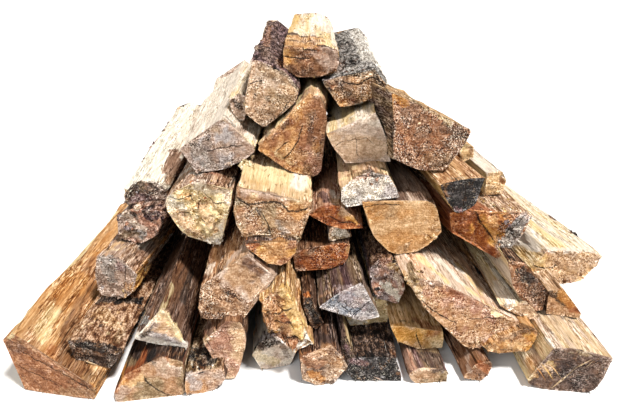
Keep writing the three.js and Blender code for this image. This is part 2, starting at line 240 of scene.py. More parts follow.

# The places in the tables below were noted on the photo, log by log, and turned into each log's own
# frame: x to the right, y behind its front end and z up, from the mean of its corners

# Marks on a log, each over the ones before it: from one place to another, or one place for a spot, the radius
# in mm, the tone, its strength and, for some, the speckle there
# painted light on grey_block_log: the sand mark from 20,70,26 to 26,73,18 lightens a patch of its top that
# the lamps leave in shade
# painted light on wide_slab_log: the buff mark from 29,131,12 to 42,108,4 lightens the back of its top, where
# the logs above cast shade
# painted shade on flat_right_log: the brown mark from -27,9 to 6,12 on its front end, in the recess under
# wide_slab_log's end
# painted shadow on tan_smooth_log: the umber mark from 10,28,44 to 20,12,43 on its top, where the log above
# shades it
# painted shadow on top_log: the umber band from -25,-21 to 24,-19 and the dark band from -25,-16 to 24,-13
# across the bottom of its front end
MARKS = rows("""
left_corner_log:
-34,34 -37,309,28 5.2 cream .85; -23,4,34 -18,190,29 3.2 amber .6; -10,13,25 -16,63,29 6.3 cream .95
-16,6,29 -21,87,33 5.2 cream .5; 7,35,5 -12,163,27 10.5 toffee .55; -28,119,37 -25,123,35 2.3 black .95
-15,148,29 -13,150,28 1.4 black .8; 1,13,12 15,10,-2 8.4 rust .6; 26,12,-6 51,8,-14 6.3 black .8
49,10,-18 45,55,-33 4.2 dark .7; -36,22 -25,24 6.3 dark .5; 44,-23 8,-29 6.3 olive .4
-27,101,37 -23,1,34 3.7 tan .7; -15,127,29 -15,76,28 9.5 amber .45; -19,7,31 -9,2,23 6.3 dun .6
4,58,7 21,9,-4 13 brown .8; 47,18,-12 37,-14 5.2 umber .6
charred_left_log:
-18,70,24 16,87,15 7.4 black .9; -20,11,24 -24,36,23 4.2 sand .6; 18,14,13 18,32,13 4.2 olive .5
-16,18 24,2,10 5.2 black .85 .4; -11,0 1,-7 1.6 charcoal .8 .2; 8,1 17,4 4.2 dark .6
-10,49,23 7,37,19 9.5 tan .6
grey_block_log:
-18,14,36 12,27,35 4.2 pale .7; 1,30 11,23 6.3 purple .7 .4; 14,30,31 23,50,0 8.4 fawn .7
23,29,-2 22,65,-2 6.3 dark .6; 15,0 24,1,-3 5.2 honey .6; 17,43,29 22,135,-3 4.2 milk .6
25,47,10 21,116,-3 5.2 milk .7; -6,32 -4,13 7.4 grey .7 .8; -11,30,36 -2,38,36 5.2 biscuit .6
24,19,20 23,29,-2 4.2 black .4; 20,70,26 26,73,18 7.4 sand .9; 22,37,23 24,9,21 6.3 brown .7
pink_bark_log:
-15,-5 4,3 5.2 olive .7; -8,20 9,3 5.2 grey .8; 19,26 37,15,18 7.4 plum .9 1; 6,-6 31,9,4 2.6 grey .9
3,23 20,4,32 3.2 black .8; -9,26,26 12,22,31 5.2 charcoal .6 1; -7,25 1,13 4.2 shell .8 .8
5,11 14,6 3.2 shell .8 .8
white_left_log:
-6,16 5,13 5.2 olive .7; -14,-3 3,-3 6.3 purple .6; 17,91,17 21,23,13 5.2 dark .95
19,108,15 20,131,-4 3.2 black .95; -27,206,12 -28,241,11 2.6 umber .95; -26,77,9 -25,131,11 3.2 umber .9
-25,131,11 -25,173,12 2.6 pink_brown .8; -27,316,15 1.7 rust .9; 23,37,12 22,14,12 4.2 dun .8
-27,316,15 -20,305,18 5.2 gold .5; -27,316,15 1.1 rust .9; 5,190,23 7,186,23 1.1 brown .9
15,74,20 17,108,18 4.2 umber .85; 12,25,21 18,49,16 3.2 rust .6; 16,99,18 19,45,15 10 chestnut .9 .4
6,18 13,8 7.4 cocoa .7 1.2
mauve_end_log:
-20,17 -1,19 4.2 black .6 1.2; -12,12 -5,23 6.3 blue_grey .5 1; 11,28 27,32 7.4 lilac .8 .2
-23,1 -8,-5 8.4 taupe .6 .5; 3,3,38 7,37 4.2 olive .5; 27,2 42,9 5.2 taupe .6; 16,3,47 44,11 3.2 taupe .95 0
15,13,48 27,10,36 3.2 black .6; -26,39,20 -34,111,16 2.1 stone .6; -36,60,15 -36,89,15 2.6 milk .6
-12,8,25 -3,21 4.2 black .45 1.4; 10,15 16,9 4.7 stone .5 .3; -16,12 2,-9 6.3 grey .5 .6
35,50,30 32,29 5.2 taupe .7
cream_splinter:
-6,141,17 8,15 2.1 rust .6; -12,66,13 -12,51,13 1.7 ash .6; -6,11 2,4 3.2 umber .9
-12,130,14 -8,28,16 6.3 bone .8 .2; -6,13 0,4 2.6 dark .9
bark_left_top_log:
-17,-10 -1,4 3.2 buff .5; -6,40 -14,-2 2.1 cocoa .7; 6,38 21,30 5.2 black .8 .3; 0,30 8,17 7.4 shell .7 .4
27,28 38,17 3.2 black .7; -2,-24 24,-5 5.2 umber .6 1; 10,9 18,4 7.4 olive .5 1
8,159,41 19,23,36 3.2 toffee .9; -10,57,46 16,100,36 4.2 dark .6; -9,173,43 -7,221,44 3.2 ash .7
-9,309,43 14,317,37 3.2 black .8; -10,309,43 -11,68,47 1.4 olive .8; -1,262,43 -1,97,45 6.3 toffee .5
-12,40 -15,-2 2.6 buff .6 .2; 3,38 -10,6 1.1 dark .7; 0,40 23,24 4.2 black .4; 14,-11 18,-5 2.1 dun .8
8,300,40 12,60,36 8 plum .6 .8; -16,300,36 -18,40,34 2.5 clay .8
top_log:
-29,18 -20,9 9.5 honey .45 .2; -27,1,24 -12,24 3.2 brown .6; -12,11 3,13 4.3 chestnut .3 .3
5,7 12,2 5.2 brown .7; 16,15 29,9 8.4 taupe .6 .4; 1,18 23,13 3.2 taupe .6; -27,122,24 23,85,22 2.6 cream .9
-13,67,25 6,54,25 2.6 black .9; -29,90,24 -13,48,25 4.2 umber .8; -27,313,23 -19,304,23 3.2 dark .95
-27,313,23 -13,202,27 5.2 gold .6; -21,225,24 -19,129,26 6.3 wheat .5; 10,116,24 13,65,25 1.6 black .8
8,48,25 29,67,20 4.2 white .8; -27,187,23 -27,88,24 5.2 straw .85 0; -23,309,23 -22,307,23 1.7 brown .9
-30,99,24 -1,55,25 2.5 umber .9; -27,50,24 4,32,25 1.1 dark .9; 16,238,22 24,129,23 9.5 bone .9 0
8,48,25 27,63,20 2.6 wheat .7; -27,18 -26,2 3 gold .6 .3; -22,-3 4,-5 2.4 brown .5 .3
16,20 22,5 7.4 taupe .8 .2; -29,72,24 2,60,25 9.5 honey .9 .6; -29,20,24 -4,16,25 9 clay .7 .3
-28,170,24 -24,300,24 7 straw .9 0; -27,106,24 -6,66,25 2.2 umber .95; -26,44,24 -2,32,25 1.5 dark .95
2,74,24 12,62,25 2.6 cocoa .9; 6,200,24 18,300,24 12 white .9 0; -25,-21 24,-19 6 umber .7
-26,36,24 -14,32,25 24 honey .85 .5; -8,40,25 4,34,25 12 clay .8 .5; -27,106,24 -6,66,25 2.2 umber .95
-26,44,24 -2,32,25 1.6 dark .95; -25,-16 24,-13 8 dark .75; -26,-2 -2,-5 6 umber .6
lichen_log:
-44,16,9 -30,13 3.2 mauve .7 1.2; -45,4 -38,-3 5.2 black .8; -15,106,15 -22,64,13 4.2 clay .8
-34,-3 -17,-9 6.3 red_brown .7 1.2; -13,2 4,9 8.4 sand .6 1; 4,22 17,11 3.2 black .9
21,70,13 24,37,6 3.2 olive .9; 3,0 19,7 5.2 fawn .6; -1,151,20 -4,81,17 6.3 black .8 1
6,309,20 4,83,19 8.4 grey .7 1.4; 36,305,11 27,60,12 11 milk .85 .3; 21,288,25 37,308,13 3.2 mauve .8 1
-40,6,10 -25,14 3.7 purple .8 .8; -30,-3 -2,4 7.4 dun .6 1.2; -45,3 -39,-5 3.2 black .7
23,44,8 9,8 3.2 dark .8; -14,300,18 -12,60,16 10 charcoal .55 1.4; -26,280,14 -28,40,12 6 cocoa .6 1.2
-34,4,12 -23,2 6.3 cocoa .7 1.2; 22,300,22 14,60,20 9 milk .5 .5
orange_centre_log:
0,26,56 11,40 9.5 toffee .8 .2; 3,34 -4,23 5.2 toffee .8 .2; 20,53 24,35 4.2 brown .8 .8
9,-2 18,-23 8.4 pink_brown .8 .9; 11,34 16,9 6.3 soot .6 .7; -45,8 -38,3 5.2 toffee .6
-25,-1 -15,-9 7.4 cream .5; 4,36,60 20,12,55 2.6 pale .95 0; -48,43,6 -38,3,16 4.2 dark .6
-21,20,34 -21,32 7.4 dark .6 .2; 7,29,62 3,56 5.2 toffee .5 .1; 18,48 14,-2 4.7 brown .6 .1
-25,3 -4,-9 6.3 tan .4 .5
grey_beige_log:
-42,23 -31,16 5.2 amber .7 0; -29,24 -25,21 2.6 shell .9; -35,11 -21,0 7.4 sand .7 .1
21,5 25,-4 3.2 honey .7; 11,21 12,19 1.7 black .9; 12,3 14,4 1.6 black .9; 3,14 19,16 4.2 milk .3 .4
-24,20,31 8,40,47 3.2 milk .9; -22,-11 -13,-14 5.2 milk .6; -39,18 -36,13 3.2 straw .8 0
1,31,43 10,34 4.2 bone .6 0; 1,7 17,-1 8.4 shell .7 .3; -24,6 14,4 12 sand .6 .1
-14,-10 14,-10 7 shell .5 .2
porous_right_log:
-16,53 -5,47 5.2 amber .8 .4; -17,39 -15,4,-4 3.2 black .6; 41,20 63,9 6.3 black .5 1.2
26,-13 44,-16 8.4 olive .4 1.2; 21,78,37 56,3,21 2.6 cream .9 0; 11,44 45,24 2.1 cream .6
salt_pepper_log:
-28,19,13 -20,23,18 5.2 cream .9 .1; -15,24,20 16,21,23 2.6 black .95 .1; -14,10,21 13,8,23 2.6 olive .8 .3
25,62,9 28,46,3 4.2 milk .9 0; -27,-5 -14,-7 5.2 grey .5 1.4; -22,26,17 -15,24,20 4.2 toffee .8 0
-7,17,23 8,1,24 3.7 dark .8 .3; 18,10,23 23,16,14 3.2 cream .8 0
tan_smooth_log:
-43,37 -35,30 7.4 amber .5 .1; -29,38 -16,30 7.4 dark .35 .1; -33,0 -18,-10 5.2 honey .5 .1
20,7 32,14 8.4 tan .3 .1; 10,28,44 20,12,43 7.4 umber .7
yellow_top_log:
-22,12,40 32,23,28 5.2 cream .7; -23,69,41 20,76,31 8.4 straw .8; 31,78,28 40,16,27 5.2 milk .8
-1,74,36 5,78,35 1.4 black .8; -23,38 27,3,30 3.2 taupe .8 .1; -6,17 -2,4 5.2 charcoal .8 .5
-30,15 -22,2 6.3 olive .5 1; 6,5 17,-4 6.3 grey .6 .7; 22,16 36,20 6.3 clay .8 .2; 20,3 28,-2 5.2 fawn .7 .3
-8,38,37 23,36,30 23.1 wheat .4 0; -22,54,40 -13,29,38 8.4 straw .5 0; 0,20 1,2 5.2 olive .6 .3
28,20 32,12 5.2 amber .5 .2; -22,11 -13,-7 7.4 pink_brown .3 1.5; -24,60,40 26,64,31 24 cream .75 0
30,40,30 34,120,28 7 milk .85 0
orange_under_log:
-21,12 -5,12 5.2 rust .8 .4; -5,5 23,4 6.3 gold .7 .2; -21,1,18 25,17 2.1 dark .95 0
12,12 2,-2 9 honey .7 .2
cream_rough_log:
-17,25 -2,25 4.2 amber .7 .3; 2,22 5,13 4.2 wheat .7 .3; 15,30 23,20 6.3 cream .8 .2
30,32 38,20 5.2 shell .9 .2; -26,20 -17,6 8.4 milk .6 .8; 5,13 14,16 4.2 rust .7 .2
13,-6 21,-13 5.2 amber .7 .5; -11,-6 3,-21 8.4 clay .6 .9; 9,-28 25,-33 3.2 milk .8 .4
28,2 32,-10 3.2 biscuit .7; -32,76,18 -17,78,30 5.2 milk .8; -32,89,19 -28,112,23 2.1 milk .6
-7,34,39 3,29,41 4.2 milk .8; 15,31,42 36,76,34 8.4 pink_brown .85; 33,11,34 40,52,28 4.2 black .8
3,39 22,37 7.4 bone .6 .6; 11,6 17,-6 6.3 sand .7 .2; -19,3 -9,-9 7.4 pink .5 1.1
28,-11 28,-23 5.2 white .6 .4; -32,69,18 -19,74,29 3.2 milk .6; 31,32,36 22,39 6.3 chestnut .8
pale_facet_log:
-37,12 -4,-13 14.7 dun .9 1.5; -1,35 24,24 14.7 stone .95 0; 7,6 17,5 6.3 stone .8 .1
24,33 32,20 3.2 milk .6 0; -35,25,19 -34,45,20 5.2 shell .8; -21,4,27 -19,27,30 2.6 dark .8
-14,24 -6,8,40 5.2 stone .8; -27,41,22 -22,58,25 3.2 milk .7; -7,35 5,23,46 5.2 fawn .8
13,38 30,25 2.1 toffee .7; 23,19,35 12,31 11 cocoa .75; -2,30 16,12 9 sand .5 .05
red_wedge_log:
-22,30,19 -10,22 6.3 pink_brown .85; -22,17 -13,7,27 4.2 pale .6; -3,1,37 13,37 6.3 umber .5
-13,5 1,-11 7.4 pink .7; -22,37,19 12,4,43 2.1 dun .8; -22,32,18 -14,2,26 3.2 cocoa .7
blue_wedge_log:
2,33 12,9 5.2 cream .9 .1; -10,31 -2,38 4.2 pale .8 .2; -18,14 7,1 4.2 lilac .8 .3
-33,2 9,-4 2.6 milk .9 .1; -29,7 -17,21 2.6 charcoal .9; -35,38,6 -21,8,18 4.2 grey .9 1.2
-6,3,40 -2,47,41 4.2 cream .7; 2,31,32 1,73,31 5.2 brown .7; 7,49,21 7,117,19 5.2 black .7
front_left_log:
-28,40,-9 -14,-3 5.2 amber .8; -28,58,-8 -13,23,10 4.2 olive .7; -2,5,16 -3,36,14 5.2 rust .8
11,21 7,28,20 4.2 black .8; 26,19 41,12 3.2 shell .95; 17,9,25 34,14,24 4.2 umber .8
-16,-3 6,12 3.2 biscuit .7; 10,14 37,8 4.2 taupe .6; -23,-14 -17,-8 5.2 taupe .7; 2,5,18 10,14 4.2 dun .5 0
21,22 27,9 4.2 stone .5 0
bark_top_log:
-16,34,17 7,17,16 8.4 black .8; -12,13 -6,-2 5.2 ash .7; 3,9 18,9 5.2 taupe .6
-15,38,17 7,17,16 10.5 black .9 1.4; -9,32,17 1,12,17 2.1 black .6 1.4
charred_top_log:
-20,5,10 -3,1,18 6.3 dark .9 1; -14,12,17 -8,15,17 4.2 ash .9 .8; -21,24,9 -20,32,11 3.2 milk .9
7,11 13,-5 3.2 umber .6; -20,1 0,-10 5.2 cream .5
broken_gold_log:
-30,38 -9,39 8.4 honey .8 .6; -26,46 -16,48 4.2 clay .6; -16,1,57 -4,50 4.2 white .9 .1
-8,7,62 -1,45 5.2 straw .9 .1; 3,14,36 11,6,15 5.2 straw .9 .1; 7,8,26 15,2 3.7 straw .9 .1
11,-1 19,-13 5.2 milk .95 0; 3,-10 16,-15 4.2 milk .9 .1; -31,16 -19,3 5.2 soot .85 .9
-32,26 -29,19 3.2 milk .8; -17,16 -7,10 4.2 charcoal .8 .8; -7,8 5,9 6.3 clay .9 .4
8,56,22 8,42,23 4.2 amber .8; -10,5,61 -8,55 6.3 straw .8 0; 6,23,30 7,26 5.2 wheat .9 0
-24,49 -20,39 6.3 clay .8 1; -17,30 -11,20 4.2 honey .7 .6; 11,-3 15,-14 4.2 milk .95 0
-2,44 6,4 6 straw .75 .1
dark_sliver:
-10,14,27 -6,3,29 3.2 orange .8; -8,26 4,-2 5.2 black .9; 9,-5 9,-7 1.6 brown .8
amber_low_log:
3,41,15 20,27 6.3 soot .9 .2; 16,20 26,9 7.4 clay .8; 2,-8 10,-13 5.2 amber .7; -7,13 -1,3 4.2 orange .6
8,7 20,12 4.2 dun .6; 20,22 26,7,24 3.2 brown .7; -5,3,16 8,5 7.4 toffee .7 .5
black_slab_log:
-18,2,12 -5,8 2.1 purple .7 .3; 4,7,13 14,3,13 1.1 black .8 .3; 26,16,13 31,-3 2.6 brown .8 1
6,-8 19,-13 1.1 plum .8 .3; 19,38,13 23,37,13 1.1 milk .7
ridged_strip:
-1,9 4,-4 2.1 purple .9; -5,3 0,-6 2.1 dark .9
blue_grey_log:
-25,15,22 -8,27 4.2 mauve .6 .9; -20,19 -3,10 7.4 mauve .6 1; -28,19 -24,19 2.1 black .8
18,28,-1 23,1,-12 2.1 milk .8 .2; 3,10 8,0 3.2 mauve .7 .7; -39,19,9 -29,13,19 4.2 dun .7
olive_log:
-18,-7 -5,-8 4.2 milk .8 .4; -16,-3 4,-9 1.6 milk .8; 13,14 23,-6 5.2 cream .9 .8
rust_log:
-12,12 8,7 7.4 orange .6 1; -25,3 -9,0 4.2 rust .5; 21,16 23,11 3.2 honey .9
small_grey_log:
-3,6 8,3 5.2 white .5 .8
orange_foot_log:
-24,11 -11,16 6.3 rust .9 .2; 0,9 15,3 4.2 gold .8; -3,5 3,0 2.1 toffee .8; -23,41,18 -17,16,19 5.2 plum .8
-10,46,19 -7,9,19 4.2 milk .7; -25,85,16 -6,79,19 4.2 buff .8; -4,15,19 3,3,15 7.4 sand .8
flaky_bark_log:
-3,5 8,-5 6.3 white .9 .6; -13,17 -4,12 5.2 ash .8 .6; 4,27 13,20 4.2 biscuit .9 .8
11,15 18,2 4.2 shell .9 .8; 13,-8 17,-15 4.2 white .8; -13,29 -2,15 6.3 cocoa .6
wide_slab_log:
-32,52,47 -15,13,39 6.3 cream .95 0; -6,61,34 15,21,21 7.4 white .9 0; 15,21,21 39,5 5.2 cream .9 0
24,94,15 33,38,9 5.2 wheat .8; 47,74,1 46,29,2 3.2 milk .8; 8,107,25 21,71,17 6.3 milk .8
-48,41,47 -51,4,46 4.2 olive .9 .3; -52,41 -44,25 4.2 pale .8; -19,35 -3,27 5.2 rust .6 .3
-7,8 21,-6 9.5 clay .5; 8,-25 32,-24 4.2 buff .6; -44,45 -25,42 4.2 cocoa .6; 29,131,12 42,108,4 9.5 buff .7
tan_strip_log:
-9,43,18 -10,9,18 4.2 milk .9; -10,75,18 -9,45,18 4.2 white .8; -18,49,17 -22,16,16 3.2 milk .8
-23,16 -20,14 2.1 black .9; -22,2,17 -21,15 1.4 black .9; -17,32,17 -15,6,17 6.3 milk .8
orange_edge_log:
-5,26 20,-2 2.6 rust .9 .1; -15,24 10,6 4.2 dark .9 .1; 10,13 14,3 5.2 rust .8; -2,24 9,11 5.2 amber .8
dark_bark_log:
10,6 19,-10 6.3 umber .9; -15,31 10,6 5.2 black .9; -24,9,43 -10,29 2.6 black .8; 3,9 15,-9 6.3 umber .7 .5
long_right_log:
-19,2,12 -10,18 5.2 amber .7 .2; -12,6,20 1,1,32 3.2 rust .6 .4; 10,-1 17,-10 5.2 sand .7 .4
3,6,31 40,4,26 4.2 bone .9 0; -16,54,19 -16,16,15 4.2 milk .9; -20,53,13 -20,40,13 4.2 umber .7
59,115,18 60,98,19 2.6 umber .9; 63,67,19 64,50,19 2.6 black .9; 10,18 54,11 7.4 fawn .5 .5
-18,33,14 -10,18 7.4 straw .7
torn_grey_log:
-34,20 -12,1 7.4 gold .8 .2; -22,13 -14,15 3.2 orange .7 .3; -3,16 13,-5 6.3 gold .95 .1
3,23 13,13 4.2 rust .8 .1; 18,-12 25,-12 4.2 grey .8 .5; 30,12 45,21 6.3 ash .6 .6
14,54,27 21,33,27 3.2 toffee .7; 12,18,26 31,15,27 2.1 black .7; 26,-6 34,0 3.2 dark .7
37,14 27,-11 6.3 grey .85 1.2; 6,16 10,-1 5.2 honey .8 .2; -8,12 -3,-2 4.2 gold .7 .2
-23,17 -18,10 4.2 gold .7 .5; -23,24 -7,10 7.4 orange .7 .3; 34,10 26,-10 9 grey .85 1.3
30,6 33,-4 1.4 dark .9
blue_black_log:
-19,22 7,20 3.2 charcoal .5; -6,-3 -1,-6 2.6 purple .9; -23,4,20 -18,11 3.2 chestnut .95 0
-16,10,27 14,5,29 2.1 pale .9 0; -6,119,-10 -19,14,12 4.2 straw .8; -8,19 8,9 9.5 charcoal .8 .4
streaky_right_log:
7,6,21 11,13 3.2 black .5; 6,11 12,6 2.1 rust .7
stub_right_log:
0,10 5,4 3.2 red_brown .5
flat_right_log:
-27,9 6,12 5 brown .6 .2; 3,12 13,2 4.2 gold .7 .2; -25,-4 7,-4 2.1 umber .8; -4,8,19 4,16 4.2 umber .8
-18,2 -4,-1 4 biscuit .8 .1; 8,-6 11,-7 4.2 gold .9 .2; -21,13 -12,14 2.1 black .7
right_corner_log:
-24,12 -14,4 5 straw .8 .4; -27,20,-1 -14,-2 6.3 fawn .9; -32,35,-14 -31,-12 4.2 wheat .8
0,51,28 0,26,28 6.3 lilac .8; 13,61,28 35,53,23 3.7 black .7; 19,35,26 35,9,22 5.2 pale .7
-14,17,25 -13,4,26 3.2 milk .6; -6,21 21,22 1.6 black .7; 4,47,28 16,11,26 10.5 pale .5
-29,16,-4 -26,-9 4.2 honey .8; 13,-1 32,-19 13.7 soot .6 .4
gold_slab_log:
-34,21 -18,10 7.4 gold .7 .1; -12,13 0,5 5.2 gold .5 .2; 4,12 16,-1 5.2 wheat .6 .2
-28,9,28 17,14,15 2.1 dark .7; -6,20,22 7,6,18 7.4 rust .6
thin_slab_log:
-17,34,6 -15,3,9 4.2 pink .8; 3,26,9 14,1,9 5.2 black .9; -7,1 10,-2 4.2 dun .5 .3
10,18,9 11,8 7.4 soot .85; -2,22,16 14,8,14 8 soot .85
round_edge_log:
-3,1,11 8,1 4.2 rust .6 .3; -8,24,7 -11,0 3.2 beige .6
""")

# Cracks in a front end: the width in mm and the places that the crack runs through
CRACKS = rows("""
left_corner_log:
1.4 -24.8,15.6 12.7,-3.2 47.1,-22.6; 1.2 -31,-2.6 9.4,-21.3
charred_left_log:
1.8 -24.3,7.7 -8.4,2.3 12.4,1
grey_block_log:
1.2 15.6,29.1 10.8,.8
mauve_end_log:
1.6 -6.4,12.2 15.3,15.1 31.6,17
bark_left_top_log:
1.6 -15.6,21 -.4,25.5; 1.4 13.6,-16.2 22.6,-4.9 29.3,6.3
top_log:
2 -14.2,24.1 -7.7,20.8 3.1,19.7; 1.8 -29.5,13.6 -14.3,11.3 -3.4,11.2; 1.6 5.2,25 20.4,22.7 31.2,21.6
lichen_log:
2.2 -25.7,8.2 -10.6,6.2 4.1,15.1 17.3,6.5
orange_centre_log:
1.8 -2.5,25.2 -5.8,9.6 -14.6,-3.9 -21.3,-9.6; 1.4 -18.8,7.5 -29.8,-1.4
grey_beige_log:
.7 -32.9,7.4 -24.5,13 -13.9,15.2; .7 -9.7,16.3 -9.4,5.2 -6.9,-3.8; .7 -7.6,16.3 .9,17.4 7.4,11.9
salt_pepper_log:
2 -28.1,13.4 -15.9,19.9 -4.6,22.1 14,23
tan_smooth_log:
1.2 -45.3,36.9 -28.7,39.2 -9.9,39.2
yellow_top_log:
2.6 -29.2,29.8 -21.6,23.5 -11.6,24.8 .3,27.1 12.2,25.2 20,17.8 29.9,17 41.7,22.6; 1.6 -6,13 -.4,1.1 1.5,-6.7
cream_rough_log:
1.2 -27.1,24.5 -15.4,23.5 -4.4,25.9 -2.8,20.1; 1.2 11.7,27.2 18.6,18 31.5,18.1; 1 -19.1,5.8 .3,3.6 9.6,-3.5
1.2 3.9,22.5 3,10.8
pale_facet_log:
1.5 -16.6,10 -4.7,7.9 1,1
red_wedge_log:
1.2 -18.3,19.9 -13,7.3
front_left_log:
2 3.9,7 8.7,-2.4 17.5,-11.2 26.8,-16.3
broken_gold_log:
2.4 -7.2,.6 7,-.4 11.1,1.8; 2 -24.5,32.6 -12.6,31.9 -2.6,38.2; 2 -16.8,22.7 -4.8,24.3 -.9,14.6
blue_grey_log:
1.8 -6.8,-6.7 1.4,1.4 9.6,10.6; 1.2 -19.8,7.7 -9,-1.6
orange_foot_log:
2 -13.2,6.9 -2.4,.1 10.4,.4
wide_slab_log:
1.4 -53.4,35.8 -33.4,14.7 -5.6,-4; 1.2 9.9,-.2 42.1,-2.3
long_right_log:
1.6 -16.3,13.8 -2.1,9.6 11.3,10.5
torn_grey_log:
2.4 -10.6,26.1 -2.5,11.8 10.6,-5.4; 1.8 16.7,-.9 26.6,8 40.2,21.3; 1.8 14.6,15.6 23.7,12.8 29.4,3.1
blue_black_log:
2 2.1,27.1 2.4,13.9 1.8,-1.6; 1.4 -18.1,17.2 -1.3,18.5
right_corner_log:
1.4 -13.3,-4.3 28.5,13.6; 1.2 -.2,-15.3 34.3,1.9
gold_slab_log:
1.6 -11.7,15.3 -6.3,-.3
""")

# Bevels of a front end, which leans back beyond a line: a place on the line, the way the bevel lies from it,
# the slope, the tone, its strength and the speckle there
BEVELS = rows("""
mauve_end_log:
15,46.5 .72,.69 .8 cream .85 .3
bark_left_top_log:
0,36.1 .44,.9 .8 purple .5 .5
top_log:
-29.3,23.1 .03,1 2.2 amber .7 .2
lichen_log:
-34.2,1.6 -.33,.94 .7 black .8 .9
orange_centre_log:
9.2,57.6 .99,-.13 .35 umber .7 .2
grey_beige_log:
-26.9,27.2 .29,-.96 .4 stone .8 .1
salt_pepper_log:
-26.1,14.5 -.21,.98 1.6 pink_brown .8 .2
yellow_top_log:
-29.3,28.7 .09,1 .35 brown .8 .1
cream_rough_log:
13.7,-22.9 .8,-.6 .8 milk .5 .4
pale_facet_log:
-12.1,19.3 .68,.73 .9 stone .85 .05
blue_wedge_log:
-20.3,11.6 -.26,-.97 .5 milk .8 .1
front_left_log:
-23.1,-11.9 -.57,.82 1 rust .6 .1
charred_top_log:
-18.1,8.6 -.2,.98 1.2 umber .8 .8
broken_gold_log:
-2.5,45.2 .97,.23 .8 straw .7 .2
amber_low_log:
15.6,22.1 -.45,.89 1 brown .5 .5
black_slab_log:
-23,8.7 .08,1 .8 black .5 .6
blue_grey_log:
-4.7,-6.8 .75,-.66 .25 ash .6 .5
wide_slab_log:
-41.7,43.1 -.97,.26 .9 biscuit .7 .3
long_right_log:
-13.2,17.2 -.47,.88 .6 tan .7 .2
torn_grey_log:
14.4,26 -1,-.01 1.1 rust .85 .2
gold_slab_log:
-7.4,15.2 .94,.33 .3 straw .6 .1
""")

# Loose flakes: the place, how far round it they lie, how many there are, their size in mm, their tones, and
# a last word for the dark plates that stand up facing the front deep in gaps between logs, as painted shade
FLAKES = rows("""
flaky_bark_log:
-1,0,5 16 22 8 pink/mauve/charcoal; 11,0,25 10 12 7 dark/pale/charcoal
wide_slab_log:
13,0,-27 9 7 7 pink_brown/clay/buff; 28,0,-29 9 7 7 clay/sand/dun; -11,0,1 9 5 6 clay/buff/pink_brown
-51,16,46 10 14 8 straw/pale/brown; -51,0,32 7 6 8 mauve/dark/pale
pink_bark_log:
1,0,13 15 26 11 shell/pink/mauve/dark; 26,0,26 13 14 7 plum/dark/shell
lichen_log:
-6,190,18 16 34 8 grey/charcoal/cocoa; -12,75,16 12 20 7 black/grey/umber
-8,25,16 12 16 6 charcoal/lilac/cocoa
white_left_log:
-25,95,10 5 5 8 umber/purple; -25,140,12 4 4 7 umber/purple; -27,206,12 4 4 7 umber/brown
-28,254,12 3 3 6 umber/purple; 1,0,3 15 22 5 grey/charcoal/lilac
long_right_log:
38,0,-6 9 6 6 pink_brown/tan/clay; 20,0,-11 9 6 6 tan/clay/sand; 60,108,18 5 4 8 rust/umber
63,58,19 5 4 7 umber/brown
blue_wedge_log:
-31,27,10 5 9 6 grey/charcoal/lilac
bark_top_log:
-3,14,17 15 26 3.5 white/black/charcoal
torn_grey_log:
16,26,27 17 22 5 straw/brown/pale; 30,0,15 13 10 6 mauve/plum/grey
charred_left_log:
-1,34,21 19 22 5 tan/dark/pale; 25,85,9 7 7 9 dark/umber upright
grey_block_log:
7,0,-11 9 5 5 tan/straw/taupe; -17,0,0 9 4 5 taupe/ash/stone; 24,27,21 15 22 5 olive/dark/tan
blue_black_log:
15,0,7 6 6 4 dark/straw
bark_left_top_log:
-1,147,43 10 10 6 purple/brown/mauve
broken_gold_log:
-23,0,11 10 12 6 charcoal/olive/gold; -16,0,39 13 10 7 amber/orange/brown
cream_rough_log:
8,0,-23 9 6 7 cream/wheat/straw; 22,0,-28 9 6 7 cream/straw/milk; -18,0,-1 9 5 6 wheat/cream/tan
5,0,14 23 16 7 cream/straw/orange; 38,108,21 8 7 12 dark/umber upright
yellow_top_log:
-31,72,42 8 9 13 dark/umber upright
grey_beige_log:
-38,60,24 8 8 12 dark/umber upright
porous_right_log:
13,0,17 27 14 4 tan/umber/pink_brown
salt_pepper_log:
0,5,25 13 8 5 brown/pink_brown
tan_smooth_log:
32,0,19 9 6 7 honey/tan/clay; 24,0,2 9 6 7 honey/tan/biscuit; 8,0,-11 9 5 6 tan/clay/honey
mauve_end_log:
-8,0,-9 9 5 6 taupe/beige/shell; 14,0,-2 9 5 6 taupe/stone/shell
""")

# Splinters across a front end: from one place to another, the width, the tone and how far they stand out
SPLINTERS = rows("""
charred_left_log:
-13.2,-1.8 1.8,-7.2 1.6 pale 1.5
right_corner_log:
-11.2,-24.5 10.9,8.8 3.4 pale 3; 6,4.5 22.1,18.9 2.2 pale 3; 16.3,4.6 25.7,19.3 1 pale 2
-24,9 -8,-12 3.5 straw 3; -17,10 -2,-8 2.6 biscuit 3; -28,4 -15,-14 2.4 honey 2.5
black_slab_log:
3.6,-6.2 16.5,-13.2 1.4 beige 1.5
cream_splinter:
8.2,14.6 5.5,2.2 2.4 pale 2
""")


# The shape of one log


